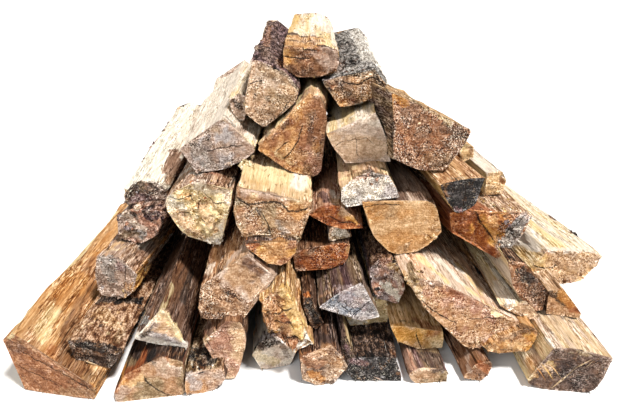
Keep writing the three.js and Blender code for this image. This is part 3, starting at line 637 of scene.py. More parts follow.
class Log:
    """A CAD node's own frame, read from its faces: x to the right, y along the grain, z up, in mm."""

    def __init__(self, node):
        data = node.data
        data.calc_loop_triangles()
        co = np.empty(len(data.vertices) * 3)
        data.vertices.foreach_get("co", co)
        tri = np.empty(len(data.loop_triangles) * 3, dtype=np.int32)
        data.loop_triangles.foreach_get("vertices", tri)
        world, back = np.unique(np.round(co.reshape(-1, 3), 6), axis=0, return_inverse=True)
        self.tris = back.reshape(-1)[tri.reshape(-1, 3)]
        a, b, c = (world[self.tris[:, k]] for k in range(3))
        cross = np.cross(b - a, c - a)
        area = np.linalg.norm(cross, axis=1)
        good = area > 1e-10
        self.tris, cross, area = self.tris[good], cross[good], area[good]
        normal = cross / area[:, None]
        axis = np.linalg.eigh((normal * area[:, None]).T @ normal)[1][:, 0]
        axis *= np.sign(axis[1])
        right = np.cross(axis, (0, 0, 1))
        right /= np.linalg.norm(right)
        self.axes = np.array([right, axis, np.cross(right, axis)])
        self.origin = world.mean(axis=0)
        self.points = (world - self.origin) @ self.axes.T / MM
        local = normal @ self.axes.T
        self.front = self.cap(local, area, -1)
        self.rear = self.cap(local, area, 1)

    def cap(self, normal, area, side):
        """The end's plane as y = a + b x + c z, from the largest group of faces that share a plane."""
        facing = np.flatnonzero(normal[:, 1] * side > 0.8)
        corner = self.points[self.tris[facing, 0]]
        best = None
        for k in np.argsort(-area[facing])[:12]:
            n = normal[facing[k]]
            off = np.abs((corner - corner[k]) @ n)
            same = (off < SAME_PLANE) & (normal[facing] @ n > 0.999)
            total = area[facing][same].sum()
            if best is None or total > best[0]:
                best = (total, n, corner[k])
        _, n, at = best
        return np.array([at @ n / n[1], -n[0] / n[1], -n[2] / n[1]])

    def outline(self, share):
        """The section at a share of the length, as a loop of [x, z], anticlockwise seen from the front."""
        plane = self.front + (self.rear - self.front) * share
        height = self.points[:, 1] - plane[0] - self.points[:, 0] * plane[1] - self.points[:, 2] * plane[2]
        height = np.where(np.abs(height) < 1e-7, 1e-7, height)
        above = height > 0
        flips = above[self.tris]
        cut = np.flatnonzero(flips.any(axis=1) & ~flips.all(axis=1))
        joins, where = {}, {}
        for t in self.tris[cut]:
            keys = []
            for i, j in ((t[0], t[1]), (t[1], t[2]), (t[2], t[0])):
                if above[i] != above[j]:
                    key = (min(i, j), max(i, j))
                    keys.append(key)
                    if key not in where:
                        w = height[key[0]] / (height[key[0]] - height[key[1]])
                        p = self.points[key[0]] * (1 - w) + self.points[key[1]] * w
                        where[key] = (p[0], p[2])
            joins.setdefault(keys[0], []).append(keys[1])
            joins.setdefault(keys[1], []).append(keys[0])
        loops = []
        while joins:
            here = next(iter(joins))
            loop = []
            while here is not None and here in joins:
                loop.append(where[here])
                ahead = joins.pop(here)
                here = next((k for k in ahead if k in joins), None)
            loops.append(np.array(loop))
        best = max(loops, key=lambda loop: abs(shoelace(loop)))
        return best if shoelace(best) > 0 else best[::-1]

    def on_front(self, x, z, forward=0.0):
        """The place on the front end's plane, or forward of it."""
        return np.array([x, self.front @ (1, x, z) - forward, z])

    def world(self, points):
        """Points of the log's own frame in the scene's, in metres."""
        return self.origin + (points * MM) @ self.axes


def shoelace(loop):
    """The area inside a loop, positive where it runs anticlockwise."""
    x, z = loop[:, 0], loop[:, 1]
    return 0.5 * float(np.sum(x * np.roll(z, -1) - np.roll(x, -1) * z))


def resample(loop, count, before):
    """count points round a loop, lined up with the ones before, with the loop's corners kept."""
    step = np.linalg.norm(np.roll(loop, -1, axis=0) - loop, axis=1)
    reach = np.concatenate([[0], np.cumsum(step)])
    total = reach[-1]
    closed = np.vstack([loop, loop[:1]])

    def at(s):
        s = np.mod(s, total)
        return np.stack([np.interp(s, reach, closed[:, k]) for k in (0, 1)], axis=1)

    marks = np.arange(count) / count * total
    if before is not None:
        tried = count * TRIES
        many = at(np.arange(tried) / tried * total)
        costs = []
        for shift in range(tried):
            picked = many[(np.arange(count) * TRIES + shift) % tried]
            costs.append(np.sum((picked - before) ** 2))
        marks = marks + np.argmin(costs) / tried * total
    points = at(marks)
    unit = (np.roll(loop, -1, axis=0) - loop) / np.maximum(step, 1e-9)[:, None]
    turn = np.abs(np.cross(np.roll(unit, 1, axis=0), unit))
    sharp = (turn > 0.2) | (np.sum(np.roll(unit, 1, axis=0) * unit, axis=1) < 0)
    for k in np.flatnonzero(sharp):
        gap = np.abs(np.mod(marks - reach[k] + total / 2, total) - total / 2)
        points[np.argmin(gap)] = loop[k]
    return points


def outward(points):
    """Unit normals of a ring of points, in the plane of the ring."""
    along = np.roll(points, -1, axis=0) - np.roll(points, 1, axis=0)
    n = np.stack([along[:, 1], -along[:, 0]], axis=1)
    return n / np.maximum(np.linalg.norm(n, axis=1), 1e-9)[:, None]


def cap_faces(ring, spacing, rng):
    """Points and triangles that fill a ring, and which of the ring's points each one was, or -1."""
    low, high = ring.min(axis=0), ring.max(axis=0)
    nx, nz = (np.ceil((high - low) / (spacing, spacing * CAP_ROW)) + 1).astype(int)
    gx, gz = np.meshgrid(np.arange(nx), np.arange(nz))
    grid = np.stack([gx + 0.5 * (gz % 2), gz * CAP_ROW], axis=-1).reshape(-1, 2) * spacing + low
    grid += rng.uniform(-CAP_JITTER, CAP_JITTER, grid.shape) * spacing
    inside = np.zeros(len(grid), dtype=bool)
    nearest = np.full(len(grid), np.inf)
    for p, q in zip(ring, np.roll(ring, -1, axis=0)):
        nearest = np.minimum(nearest, segment_gap(grid, p, q)[0])
        if p[1] != q[1]:
            crosses = (grid[:, 1] < p[1]) != (grid[:, 1] < q[1])
            x = p[0] + (grid[:, 1] - p[1]) / (q[1] - p[1]) * (q - p)[0]
            inside ^= crosses & (grid[:, 0] < x)
    points = np.vstack([ring, grid[inside & (nearest > spacing * CAP_RIM)]])
    made = geometry.delaunay_2d_cdt(
        [tuple(p) for p in points], [], [list(range(len(ring)))], 1, 1e-6, True
    )
    kept, faces, origins = made[0], made[2], made[3]
    return np.array([tuple(p) for p in kept]), np.array(faces), [o[0] if o else -1 for o in origins]


def segment_gap(points, a, b):
    """How far points are from the line between two places, and the way there."""
    d = b - a
    t = np.clip(((points - a) @ d) / max(d @ d, 1e-9), 0, 1)
    off = points - a - t[:, None] * d
    return np.linalg.norm(off, axis=1), off


# Materials


class Nodes:
    """A material's node tree, with short calls for the nodes used here."""

    def __init__(self, name):
        self.material = bpy.data.materials.new(name)
        self.material.use_nodes = True
        self.tree = self.material.node_tree
        self.shader = self.tree.nodes["Principled BSDF"]

    def add(self, kind, **settings):
        node = self.tree.nodes.new(kind)
        for key, value in settings.items():
            setattr(node, key, value)
        return node

    def join(self, value, socket):
        """Sets a socket to a number or a colour, or links another node's output to it."""
        if isinstance(value, bpy.types.NodeSocket):
            self.tree.links.new(value, socket)
        else:
            socket.default_value = value

    def attribute(self, name, output="Fac"):
        return self.add("ShaderNodeAttribute", attribute_name=name).outputs[output]

    def parts(self, name):
        node = self.add("ShaderNodeSeparateXYZ")
        self.join(self.attribute(name, "Vector"), node.inputs[0])
        return node.outputs["X"], node.outputs["Y"], node.outputs["Z"]

    def stretched(self, vector, along, across=1):
        """A place for a pattern that is longer where along or across is under 1."""
        node = self.add("ShaderNodeMapping")
        self.join(vector, node.inputs["Vector"])
        node.inputs["Scale"].default_value = (across, along, 1)
        return node.outputs["Vector"]

    def noise(self, vector, scale, detail, roughness=0.7):
        node = self.add("ShaderNodeTexNoise")
        inputs = {"Vector": vector, "Scale": scale, "Detail": detail, "Roughness": roughness}
        for key, value in inputs.items():
            self.join(value, node.inputs[key])
        return node.outputs["Fac"]

    def span(self, value, low, high, to_low=0.0, to_high=1.0):
        """The value from low to high, turned smoothly into to_low to to_high and held beyond them."""
        node = self.add("ShaderNodeMapRange", interpolation_type="SMOOTHSTEP")
        inputs = {"Value": value, "From Min": low, "From Max": high, "To Min": to_low, "To Max": to_high}
        for key, number in inputs.items():
            self.join(number, node.inputs[key])
        return node.outputs["Result"]

    def varied(self, value, low, high, to_low, to_high, amount):
        """A factor that swings from to_low to to_high, and less where the amount is under 1."""
        swing = self.span(value, low, high, to_low - 1, to_high - 1)
        return self.math("MULTIPLY_ADD", swing, amount, 1.0)

    def math(self, operation, *values):
        node = self.add("ShaderNodeMath", operation=operation)
        for value, socket in zip(values, node.inputs):
            self.join(value, socket)
        return node.outputs["Value"]

    def product(self, first, *others):
        for value in others:
            first = self.math("MULTIPLY", first, value)
        return first

    def times(self, colour, factor):
        """The colour, darker and warmer where the factor is low, paler where it is high."""
        power = self.math("MULTIPLY_ADD", self.math("LOGARITHM", factor, math.e), -0.45, 1.0)
        gamma = self.add("ShaderNodeGamma")
        self.join(colour, gamma.inputs["Color"])
        self.join(power, gamma.inputs["Gamma"])
        node = self.add("ShaderNodeVectorMath", operation="SCALE")
        self.join(gamma.outputs["Color"], node.inputs[0])
        self.join(self.math("POWER", factor, 0.34), node.inputs["Scale"])
        return node.outputs["Vector"]

    def blend(self, factor, a, b):
        """From the colour a to the colour b, which is an output or one of the tones."""
        node = self.add("ShaderNodeMix", data_type="RGBA")
        self.join(factor, node.inputs["Factor"])
        self.join(a, node.inputs[6])
        self.join((*b, 1) if isinstance(b, np.ndarray) else b, node.inputs[7])
        return node.outputs[2]

    def tone_with_wear_and_painted_light(self, grain):
        """The log's tone with its marks, whose rims are ragged, and how speckled it is; tone and marks are
        partly the wood's own colour and partly painted light and shade.
        """
        field, strength, speck = self.parts("wear_and_painted_light")
        ragged = self.math("MULTIPLY_ADD", self.noise(grain, 300, 5), 1.6, -0.8)
        inside = self.span(self.math("ADD", field, ragged), 0.38, 0.62)
        marked = self.product(inside, strength)
        tone = self.blend(marked, self.attribute("tone", "Color"), self.attribute("mark", "Color"))
        hue = self.noise(grain, 140, 3)
        tone = self.blend(self.span(hue, 0.56, 0.72, 0, 0.2), tone, TONES["amber"])
        tone = self.blend(self.span(hue, 0.44, 0.28, 0, 0.13), tone, TONES["lilac"])
        patch = self.span(self.noise(grain, 75, 2, 0.6), 0.4, 0.62, 0.25, 1.7)
        return tone, self.product(speck, patch)

    def finish(self, colour, roughness, height, distance):
        """Wires the shader, with a bump as deep as the distance, in metres."""
        bump = self.add("ShaderNodeBump")
        self.join(1.0, bump.inputs["Strength"])
        self.join(distance, bump.inputs["Distance"])
        self.join(height, bump.inputs["Height"])
        self.join(colour, self.shader.inputs["Base Color"])
        self.join(roughness, self.shader.inputs["Roughness"])
        self.join(bump.outputs["Normal"], self.shader.inputs["Normal"])
        self.join(0.25, self.shader.inputs["Specular IOR Level"])
        return self.material


def split_wood():
    """A split face: long fibres, fine dark streaks, checks, short dark dashes and lighter torn threads."""
    n = Nodes("split_wood")
    grain = n.attribute("grain", "Vector")
    tone, speck = n.tone_with_wear_and_painted_light(n.stretched(grain, 0.15))
    rough = n.span(speck, 0, 0.6, 0.2, 1.1)
    fine = n.noise(n.stretched(grain, 0.035), 800, 3, 0.75)
    wide = n.noise(n.stretched(grain, 0.05), 300, 3)
    grit = n.noise(n.stretched(grain, 0.2), 520, 4, 0.75)
    dashes = n.noise(n.stretched(grain, 0.12), 420, 2, 0.5)
    wander = n.noise(n.stretched(grain, 0.03), 190, 2, 0.5)
    checks = n.math("ABSOLUTE", n.math("SUBTRACT", wander, 0.5))
    factor = n.product(
        n.varied(fine, 0.4, 0.6, 0.3, 1.75, rough),
        n.span(wide, 0.36, 0.64, 0.75, 1.25),
        n.varied(grit, 0.4, 0.6, 0.38, 1.7, rough),
        n.span(dashes, 0.31, 0.36, 0.3, 1.0),
        n.varied(checks, 0.003, 0.014, 0.4, 1.0, rough),
    )
    height = n.math("MULTIPLY_ADD", fine, 0.7, n.math("MULTIPLY_ADD", grit, 0.6, wide))
    height = n.math("MULTIPLY_ADD", n.span(dashes, 0.31, 0.36), 0.4, height)
    return n.finish(n.times(tone, factor), n.span(wide, 0.3, 0.7, 0.72, 0.92), height, 0.0026)


def end_wood():
    """A sawn end: coarse torn pores, faint rings, the saw's lines, dark cracks and a pale rim that is partly
    frayed fibre and partly a painted highlight along the end's edge.
    """
    n = Nodes("end_wood")
    grain = n.attribute("grain", "Vector")
    tone, speck = n.tone_with_wear_and_painted_light(grain)
    across, beside, rim = n.parts("crack")
    grit = n.noise(n.stretched(grain, 0.6), 560, 4, 0.75)
    fleck = n.noise(n.stretched(grain, 0.6), 820, 2, 0.6)
    lumps = n.noise(grain, 170, 5)
    lines = n.noise(n.stretched(n.attribute("rings", "Vector"), 0.08), 480, 4)
    saw = n.noise(n.stretched(grain, 1, 0.12), 640, 3)
    rough = n.span(speck, 0, 0.8, 0.35, 1)
    pits = n.product(n.span(fleck, 0.47, 0.36, 0, 1), speck)
    factor = n.product(
        n.span(lumps, 0.3, 0.7, 0.62, 1.42),
        n.span(lines, 0.35, 0.65, 0.82, 1.2),
        n.varied(saw, 0.38, 0.62, 0.58, 1.5, rough),
        n.varied(grit, 0.39, 0.61, 0.22, 2.05, rough),
        # the end is lightened along its rim: partly pale frayed fibre, partly a painted highlight where the
        # end meets the side
        n.span(n.math("MULTIPLY_ADD", fleck, 1.6, rim), 1.0, 1.5, 1, 1.5),
        n.span(pits, 0, 1, 1, 0.14),
    )
    flecks = n.product(n.span(fleck, 0.56, 0.66, 0, 1), speck, 0.5)
    colour = n.blend(n.math("MINIMUM", flecks, 1.0), n.times(tone, factor), TONES["white"])
    depth = n.math("ADD", n.math("ABSOLUTE", across), n.span(grit, 0.3, 0.7, -0.25, 0.25))
    crack = n.product(n.span(depth, 0.5, 0.2), n.product(beside, n.span(lumps, 0.36, 0.5, 0.4, 0.9)))
    colour = n.blend(crack, colour, TONES["dark"] * 0.5)
    height = n.math("ADD", n.math("MULTIPLY_ADD", grit, 0.9, lumps), n.product(fleck, 0.4))
    height = n.math("SUBTRACT", height, crack)
    return n.finish(colour, n.span(lumps, 0.3, 0.7, 0.78, 0.95), height, 0.0024)


def bark_wood():
    """Bark: broken scales along the grain, with dark fissures and pale dust."""
    n = Nodes("bark_wood")
    grain = n.attribute("grain", "Vector")
    tone, _ = n.tone_with_wear_and_painted_light(grain)
    scales = n.noise(n.stretched(grain, 0.35), 220, 6)
    grit = n.noise(n.stretched(grain, 0.5), 620, 4, 0.75)
    factor = n.product(n.span(scales, 0.4, 0.6, 0.18, 1.7), n.span(grit, 0.38, 0.62, 0.3, 2.1))
    height = n.math("MULTIPLY_ADD", grit, 0.7, n.product(scales, 1.6))
    return n.finish(n.times(tone, factor), n.span(grit, 0.3, 0.7, 0.75, 0.95), height, 0.0032)


MATERIALS = [split_wood(), end_wood(), bark_wood()]
SPLIT, END, BARK = range(3)


# One log as a piece


def relief(p, torn, seed):
    """How far a split face stands out, in mm: flakes with stepped edges, fibres and a slow bend."""
    flakes = grain_noise(p, FLAKE_CELL, seed)
    steps = np.round(flakes * 2.2) / 2.2
    fibres = grain_noise(p, FIBRE_CELL, seed + 5)
    bend = grain_noise(p, BEND_CELL, seed + 9, 1)
    split = ramp(np.abs(noise(p / SPLIT_CELL, seed + 13)), 0.1, 0)
    return (0.7 + 0.35 * torn) * (0.9 * steps + 0.4 * flakes + 0.6 * fibres) + 0.8 * bend - 2.2 * split - 0.5


def bark_relief(p, seed):
    """How far bark stands out, in mm: ridges with furrows between them."""
    ridges = 1 - np.abs(grain_noise(p, RIDGE_CELL, seed + 11, 3))
    return 2.4 * ridges**2 - 1.4


def end_relief(x, z, torn, seed):
    """How far an end face stands out, in mm: lumps of three sizes and, where it is torn, steps."""
    p = np.stack([x, np.zeros_like(x), z], axis=1)
    lumps = sum(height * noise(p / cell, seed + k) for k, (height, cell) in enumerate(LUMPS))
    steps = np.round(1.5 * noise(p / STEP_CELL, seed + 4)) / 1.5
    return torn * lumps + 0.7 * torn**1.5 * steps


def recess(x, z, bevels):
    """How far the end leans back behind its cut, in mm."""
    back = np.zeros(len(x))
    for x0, z0, nx, nz, slope, *_ in bevels:
        back += slope * np.maximum((x - x0) * nx + (z - z0) * nz, 0)
    return BEVEL_DEPTH * (1 - np.exp(-back / BEVEL_DEPTH))


def side_tones(p, normal, look, seed):
    """The tone of each point of a log's side, partly the wood's own and partly painted light and shade by the
    way it faces, with painted shade on faces turned down; and how far it faces up, left and right.
    """
    streaks = 0.7 * grain_noise(p, STREAK_CELL, seed + 31) + 0.8 * grain_noise(p, THREAD_CELL, seed + 37)
    t = ramp(streaks, -0.7, 0.7)
    # the top, left and right tones are partly the wood's own weathering and bark, and partly painted light
    # and shade by the way each face turns
    top, left, right = (mix(TONES[a], TONES[b], t) for a, b in (look.top, look.left, look.right))
    up = ramp(normal[:, 1], 0.2, 0.5)
    west = ramp(-normal[:, 0], -0.2, 0.4)
    # painted shade: faces that turn down are darkened to about a third of their tone
    painted_underside_shade = ramp(-normal[:, 1], 0.4, 0.8)
    tone = mix(mix(right, left, west), top, up)
    return mix(tone, tone * 0.35, painted_underside_shade), up, west * (1 - up), (1 - west) * (1 - up)


def end_tones(p, look, seed):
    """The tone of each point of an end: blots of its two tones."""
    blot = noise(p / BLOT_CELL, seed + 41) + 0.6 * noise(p / DAB_CELL, seed + 43)
    a, b = look.end
    return mix(TONES[a], TONES[b], ramp(blot, -0.5, 0.5))


def mark_field(p, a, b, radius, seed):
    """A mark's field: 1 along the line between two places, 0.5 at its ragged rim and 0 outside it."""
    off = segment_gap(p, a, b)[0]
    near = off < radius * 2 + 3
    cell = radius * 0.6 + 1
    off[near] += noise(p[near] / (cell, radius + 6, cell), seed) * radius * 0.5
    return np.clip(0.5 + (radius - off) / (0.8 * radius + 3), 0, 1)


def bevel_field(p, x0, z0, nx, nz, slope):
    """The field of the part of an end that lies beyond a line."""
    beyond = (p[:, 0] - x0) * nx + (p[:, 2] - z0) * nz
    return np.clip(0.5 + beyond / 5, 0, 1) * (p[:, 1] < 4 + 2 * slope * np.maximum(beyond, 0))


def crack_field(p, cracks, seed):
    """Signed distance to the nearest crack as a share of its width, and 1 on an end near a crack."""
    best, signed, width = np.full(len(p), 1e3), np.full(len(p), 1e3), np.ones(len(p))
    q = p[:, [0, 2]] + 0.9 * np.stack([noise(p / 4, seed), noise(p / 4, seed + 1)], axis=1)
    for wide, *corners in cracks:
        corners = np.array([numbers(corner) for corner in corners])
        for a, b in zip(corners[:-1], corners[1:]):
            far, off = segment_gap(q, a, b)
            side = np.sign((b - a)[0] * off[:, 1] - (b - a)[1] * off[:, 0])
            closer = far < best
            best = np.where(closer, far, best)
            signed = np.where(closer, far * side, signed)
            width = np.where(closer, float(wide), width)
    return np.clip(signed / width, -9, 9), (best < CRACK_REACH) & (p[:, 1] < CRACK_DEPTH)


def frame_across(way, near):
    """Two unit vectors across a way, the first of them also across a vector near it."""
    u = np.cross(way, near)
    u /= np.linalg.norm(u)
    return u, np.cross(way, u)


def needle(base, tip, width):
    """A splinter of four triangles from base to tip."""
    way = (tip - base) / max(np.linalg.norm(tip - base), 1e-9)
    u, v = frame_across(way, (0.3, 0.2, 1))
    ring = [base + width * (math.cos(a) * u + 0.6 * math.sin(a) * v) for a in (0.5, 2.6, 4.7)]
    return np.array([*ring, tip]), np.array([(0, 2, 1), (0, 1, 3), (1, 2, 3), (2, 0, 3)])


def flake(centre, facing, size, rng):
    """A thin ragged plate that faces one way."""
    facing = facing / max(np.linalg.norm(facing), 1e-9)
    u, v = frame_across(facing, (0.1, 1.0, 0.2))
    corners = FLAKE_CORNERS
    angles = (np.arange(corners) + rng.uniform(-0.3, 0.3, corners)) / corners * 2 * math.pi
    reach = size * 0.5 * rng.uniform(0.45, 1.1, corners)
    rim = [centre + r * (0.8 * math.cos(a) * u + 1.2 * math.sin(a) * v) for r, a in zip(reach, angles)]
    thick = facing * size * 0.12
    top = [q + thick * rng.uniform(0.4, 1.2) for q in rim]
    points = np.array([*(q - thick for q in rim), *top, centre - thick, centre + thick * 1.6])
    low, high = 2 * corners, 2 * corners + 1
    faces = []
    for k in range(corners):
        j = (k + 1) % corners
        faces += [(k, j, corners + j), (k, corners + j, corners + k)]
        faces += [(high, corners + k, corners + j), (low, j, k)]
    return points, np.array(faces)


class Parts:
    """Collects the points, faces and colours of one piece: first the side, then the two ends."""

    def __init__(self):
        self.points, self.faces, self.kinds, self.tones, self.specks, self.rims = [], [], [], [], [], []
        self.total = 0

    def add(self, points, faces, kinds, tones, specks, rims=0.0):
        """Adds faces with their kind of material, and the tone, speckle and rim of their points."""
        self.points.append(points)
        self.faces += (np.asarray(faces) + self.total).tolist()
        self.kinds += list(np.broadcast_to(kinds, len(faces)))
        self.tones.append(np.broadcast_to(tones, (len(points), 3)))
        self.specks.append(np.broadcast_to(specks, len(points)).astype(float))
        self.rims.append(np.broadcast_to(rims, len(points)).astype(float))
        self.total += len(points)


def add_side(parts, log, look, seed):
    """The log's side as rings of points, with its own relief and that of its ends worked in."""
    torn = look.torn
    length = log.rear[0] - log.front[0]
    near, far = np.array(FRONT_SECTIONS), length - np.array(REAR_SECTIONS)
    middle = np.linspace(near[-1], far[0], max(4, int((far[0] - near[-1]) / ALONG)))[1:-1]
    places = np.concatenate([near, middle, far]) / length
    girth = np.linalg.norm(np.diff(log.outline(0.3), axis=0), axis=1).sum()
    count = int(np.clip(girth / AROUND, *POINTS_ROUND))
    rings, ring = [], None
    for share in places:
        ring = resample(log.outline(float(np.clip(share, 0.002, 0.998))), count, ring)
        rings.append(ring)
    flat = np.array(rings)
    normal = np.array([outward(r) for r in rings]).reshape(-1, 2)
    plane = log.front[None] + (log.rear - log.front)[None] * places[:, None]
    y = plane[:, :1] + plane[:, 1:2] * flat[..., 0] + plane[:, 2:] * flat[..., 1]
    p = np.stack([flat[..., 0], y, flat[..., 1]], axis=-1).reshape(-1, 3)
    behind = np.repeat(places * length, count)
    tones, up, west, east = side_tones(p, normal, look, seed)
    ways = {"top": up, "left": west, "right": east}
    barky = sum((ways[word] for word in look.bark), 0 * up)
    out = mix(relief(p, torn, seed)[:, None], bark_relief(p, seed)[:, None], barky)[:, 0]
    chips = ramp(noise(p / CHIP_CELL, seed + 21), -0.1, 0.9) * np.exp(-behind / 8)
    crumbs = ramp(noise(p / CRUMB_CELL, seed + 22), -0.2, 0.7) * np.exp(-behind / 3.5)
    out -= (1.2 + 2.6 * torn) * chips + (1.2 + 1.4 * torn) * crumbs
    p[:, [0, 2]] += normal * out[:, None]
    fray = (0.5 + 0.6 * torn) * noise(p / FRAY_CELL, seed + 3)
    x, z = p[:, 0], p[:, 2]
    back = recess(x, z, look.bevels)
    p[:, 1] -= (end_relief(x, z, torn, seed + 7) + fray) * np.exp(-behind / 4)
    p[:, 1] += back * np.exp(-behind / (1.5 * back + 1))
    p[:, 1] += (end_relief(x, z, torn, seed + 8) + fray) * np.exp(-(length - behind) / 4)

    ringed = np.arange(len(p)).reshape(-1, count)
    a, b = ringed[:-1], ringed[1:]
    quads = np.stack([a, b, np.roll(b, -1, axis=1), np.roll(a, -1, axis=1)], axis=-1).reshape(-1, 4)
    weathered = np.clip(1.5 - 1.6 * tones.mean(axis=1), 0.35, 1)
    kinds = np.where(barky[quads].mean(axis=1) > 0.5, BARK, SPLIT)
    parts.add(p, quads, kinds, tones, min(0.5 * torn, 1) * weathered)
    facing = np.column_stack([normal[:, 0], 0 * up, normal[:, 1]])
    return SimpleNamespace(points=p, facing=facing, tones=tones, rings=ringed, count=count, behind=behind)


def add_ends(parts, log, look, side, seed, rng):
    """The two ends, whose rims are the side's own first and last rings."""
    for at, face, sign, spacing, draw in ((0, log.front, -1, CAP, 7), (-1, log.rear, 1, 2 * CAP, 8)):
        edge = side.points[side.rings[at]]
        flat, tris, origins = cap_faces(edge[:, [0, 2]], spacing, rng)
        x, z = flat.T
        y = face[0] + face[1] * x + face[2] * z + sign * end_relief(x, z, look.torn, seed + draw)
        if sign < 0:
            y += recess(x, z, look.bevels)
        cap = np.column_stack([x, y, z])
        rim = np.zeros(len(cap))
        for k, origin in enumerate(origins):
            if 0 <= origin < side.count:
                cap[k] = edge[origin]
                rim[k] = 1
        parts.add(cap, tris if sign < 0 else tris[:, ::-1], END, end_tones(cap, look, seed), look.speck, rim)


def add_splinters(parts, log, look, side, name, rng):
    """Splinters along the faces and at the front edge, and the ones that show in the photo."""
    count, torn = side.count, look.torn
    along = rng.integers(2 * count, len(side.points) - 3 * count, SIDE_SPLINTERS)
    fronts = rng.integers(0, count, int(10 + 14 * torn))
    for k in np.concatenate([along, fronts]):
        at, facing, on_edge = side.points[k], side.facing[k], k < count
        long = rng.uniform(1.5, 4 + 2 * torn) if on_edge else rng.uniform(9, 30)
        lift = rng.uniform(0.2, 1.4)
        forward = on_edge or (rng.random() < 0.5 and side.behind[k] > long)
        way = np.array([0, -1.0 if forward else 1.0, 0])
        tip = at + way * long + facing * lift * (0.6 if on_edge else 1)
        points, faces = needle(at - 0.6 * facing - way, tip, rng.uniform(0.35, 0.9))
        parts.add(points, faces, SPLIT, side.tones[k] * rng.uniform(0.55, 1.3), look.speck)
    for start, end, width, tone, proud in SPLINTERS.get(name, []):
        ends = [log.on_front(*numbers(word), float(proud)) for word in (start, end)]
        middle = ends[0] + 0.4 * (ends[1] - ends[0]) + (0.4, -0.6, 0.5)
        for tip in ends:
            points, faces = needle(middle, tip, float(width) * 0.6)
            parts.add(points, faces, SPLIT, TONES[tone], 0.2)


def add_flakes(parts, log, look, side, name, rng):
    """Loose flakes round some places, flat on the end or the side, and dark plates that stand up facing the
    front in gaps between logs as painted shade.
    """
    end = parts.points[1]
    for at, spread, number, size, names, *painted_shade_plate in FLAKES.get(name, []):
        x, y, z = numbers(at)
        here = log.on_front(x, z, -y)
        close = np.flatnonzero(np.linalg.norm(side.points - here, axis=1) < float(spread) * 1.3)
        on_end = np.flatnonzero(np.linalg.norm(end - here, axis=1) < float(spread))
        for _ in range(int(number)):
            if len(on_end) and (y < 6 and rng.random() < 0.75 or not len(close)):
                centre, facing = end[rng.choice(on_end)], np.array([0, -1.0, 0])
            elif len(close):
                k = rng.choice(close)
                # a painted shade plate stands up facing the front, to darken a gap between logs
                centre, facing = side.points[k], np.array([0, -1, 0.3]) if painted_shade_plate else side.facing[k]
            else:
                continue
            facing = facing + rng.uniform(-0.5, 0.5, 3)
            points, faces = flake(centre, facing, float(size) * rng.uniform(0.5, 1.2), rng)
            tone = TONES[rng.choice(names.split("/"))] * rng.uniform(0.7, 1.2)
            parts.add(points, faces, BARK, tone, look.speck)


def marks_on(own, tone, specks, name, bevels, seed):
    """The colour of the marks, how far each point is in one and how strong it is, and the speckle."""
    zones = [(bevel_field(own, *row[:5]), *row[5:]) for row in bevels]
    for k, words in enumerate(MARKS.get(name, [])):
        places = [np.array(place(word)) for word in words if "," in word]
        radius, colour, *strengths = [word for word in words if "," not in word]
        field = mark_field(own, places[0], places[-1], float(radius), seed + 60 + k)
        zones.append((field, colour, *map(float, strengths)))
    mark, wear_and_painted_light = tone.copy(), np.zeros((len(own), 2))
    for field, colour, strength, *speck in zones:
        over = ramp(field, 0.05, 0.45)
        mark = mix(mark, TONES[colour], over)
        wear_and_painted_light = np.column_stack([np.maximum(wear_and_painted_light[:, 0], field), wear_and_painted_light[:, 1] + (strength - wear_and_painted_light[:, 1]) * over])
        if speck:
            specks = specks + (speck[0] - specks) * ramp(field, 0.3, 0.7)
    return mark, np.column_stack([wear_and_painted_light, specks])


def store(mesh, name, kind, values):
    """Keeps a colour or a vector for each point, which the materials read by name."""
    attribute = mesh.attributes.new(name, kind, "POINT")
    key = {"FLOAT_COLOR": "color", "FLOAT_VECTOR": "vector"}[kind]
    attribute.data.foreach_set(key, np.ascontiguousarray(values, dtype=np.float32).reshape(-1))


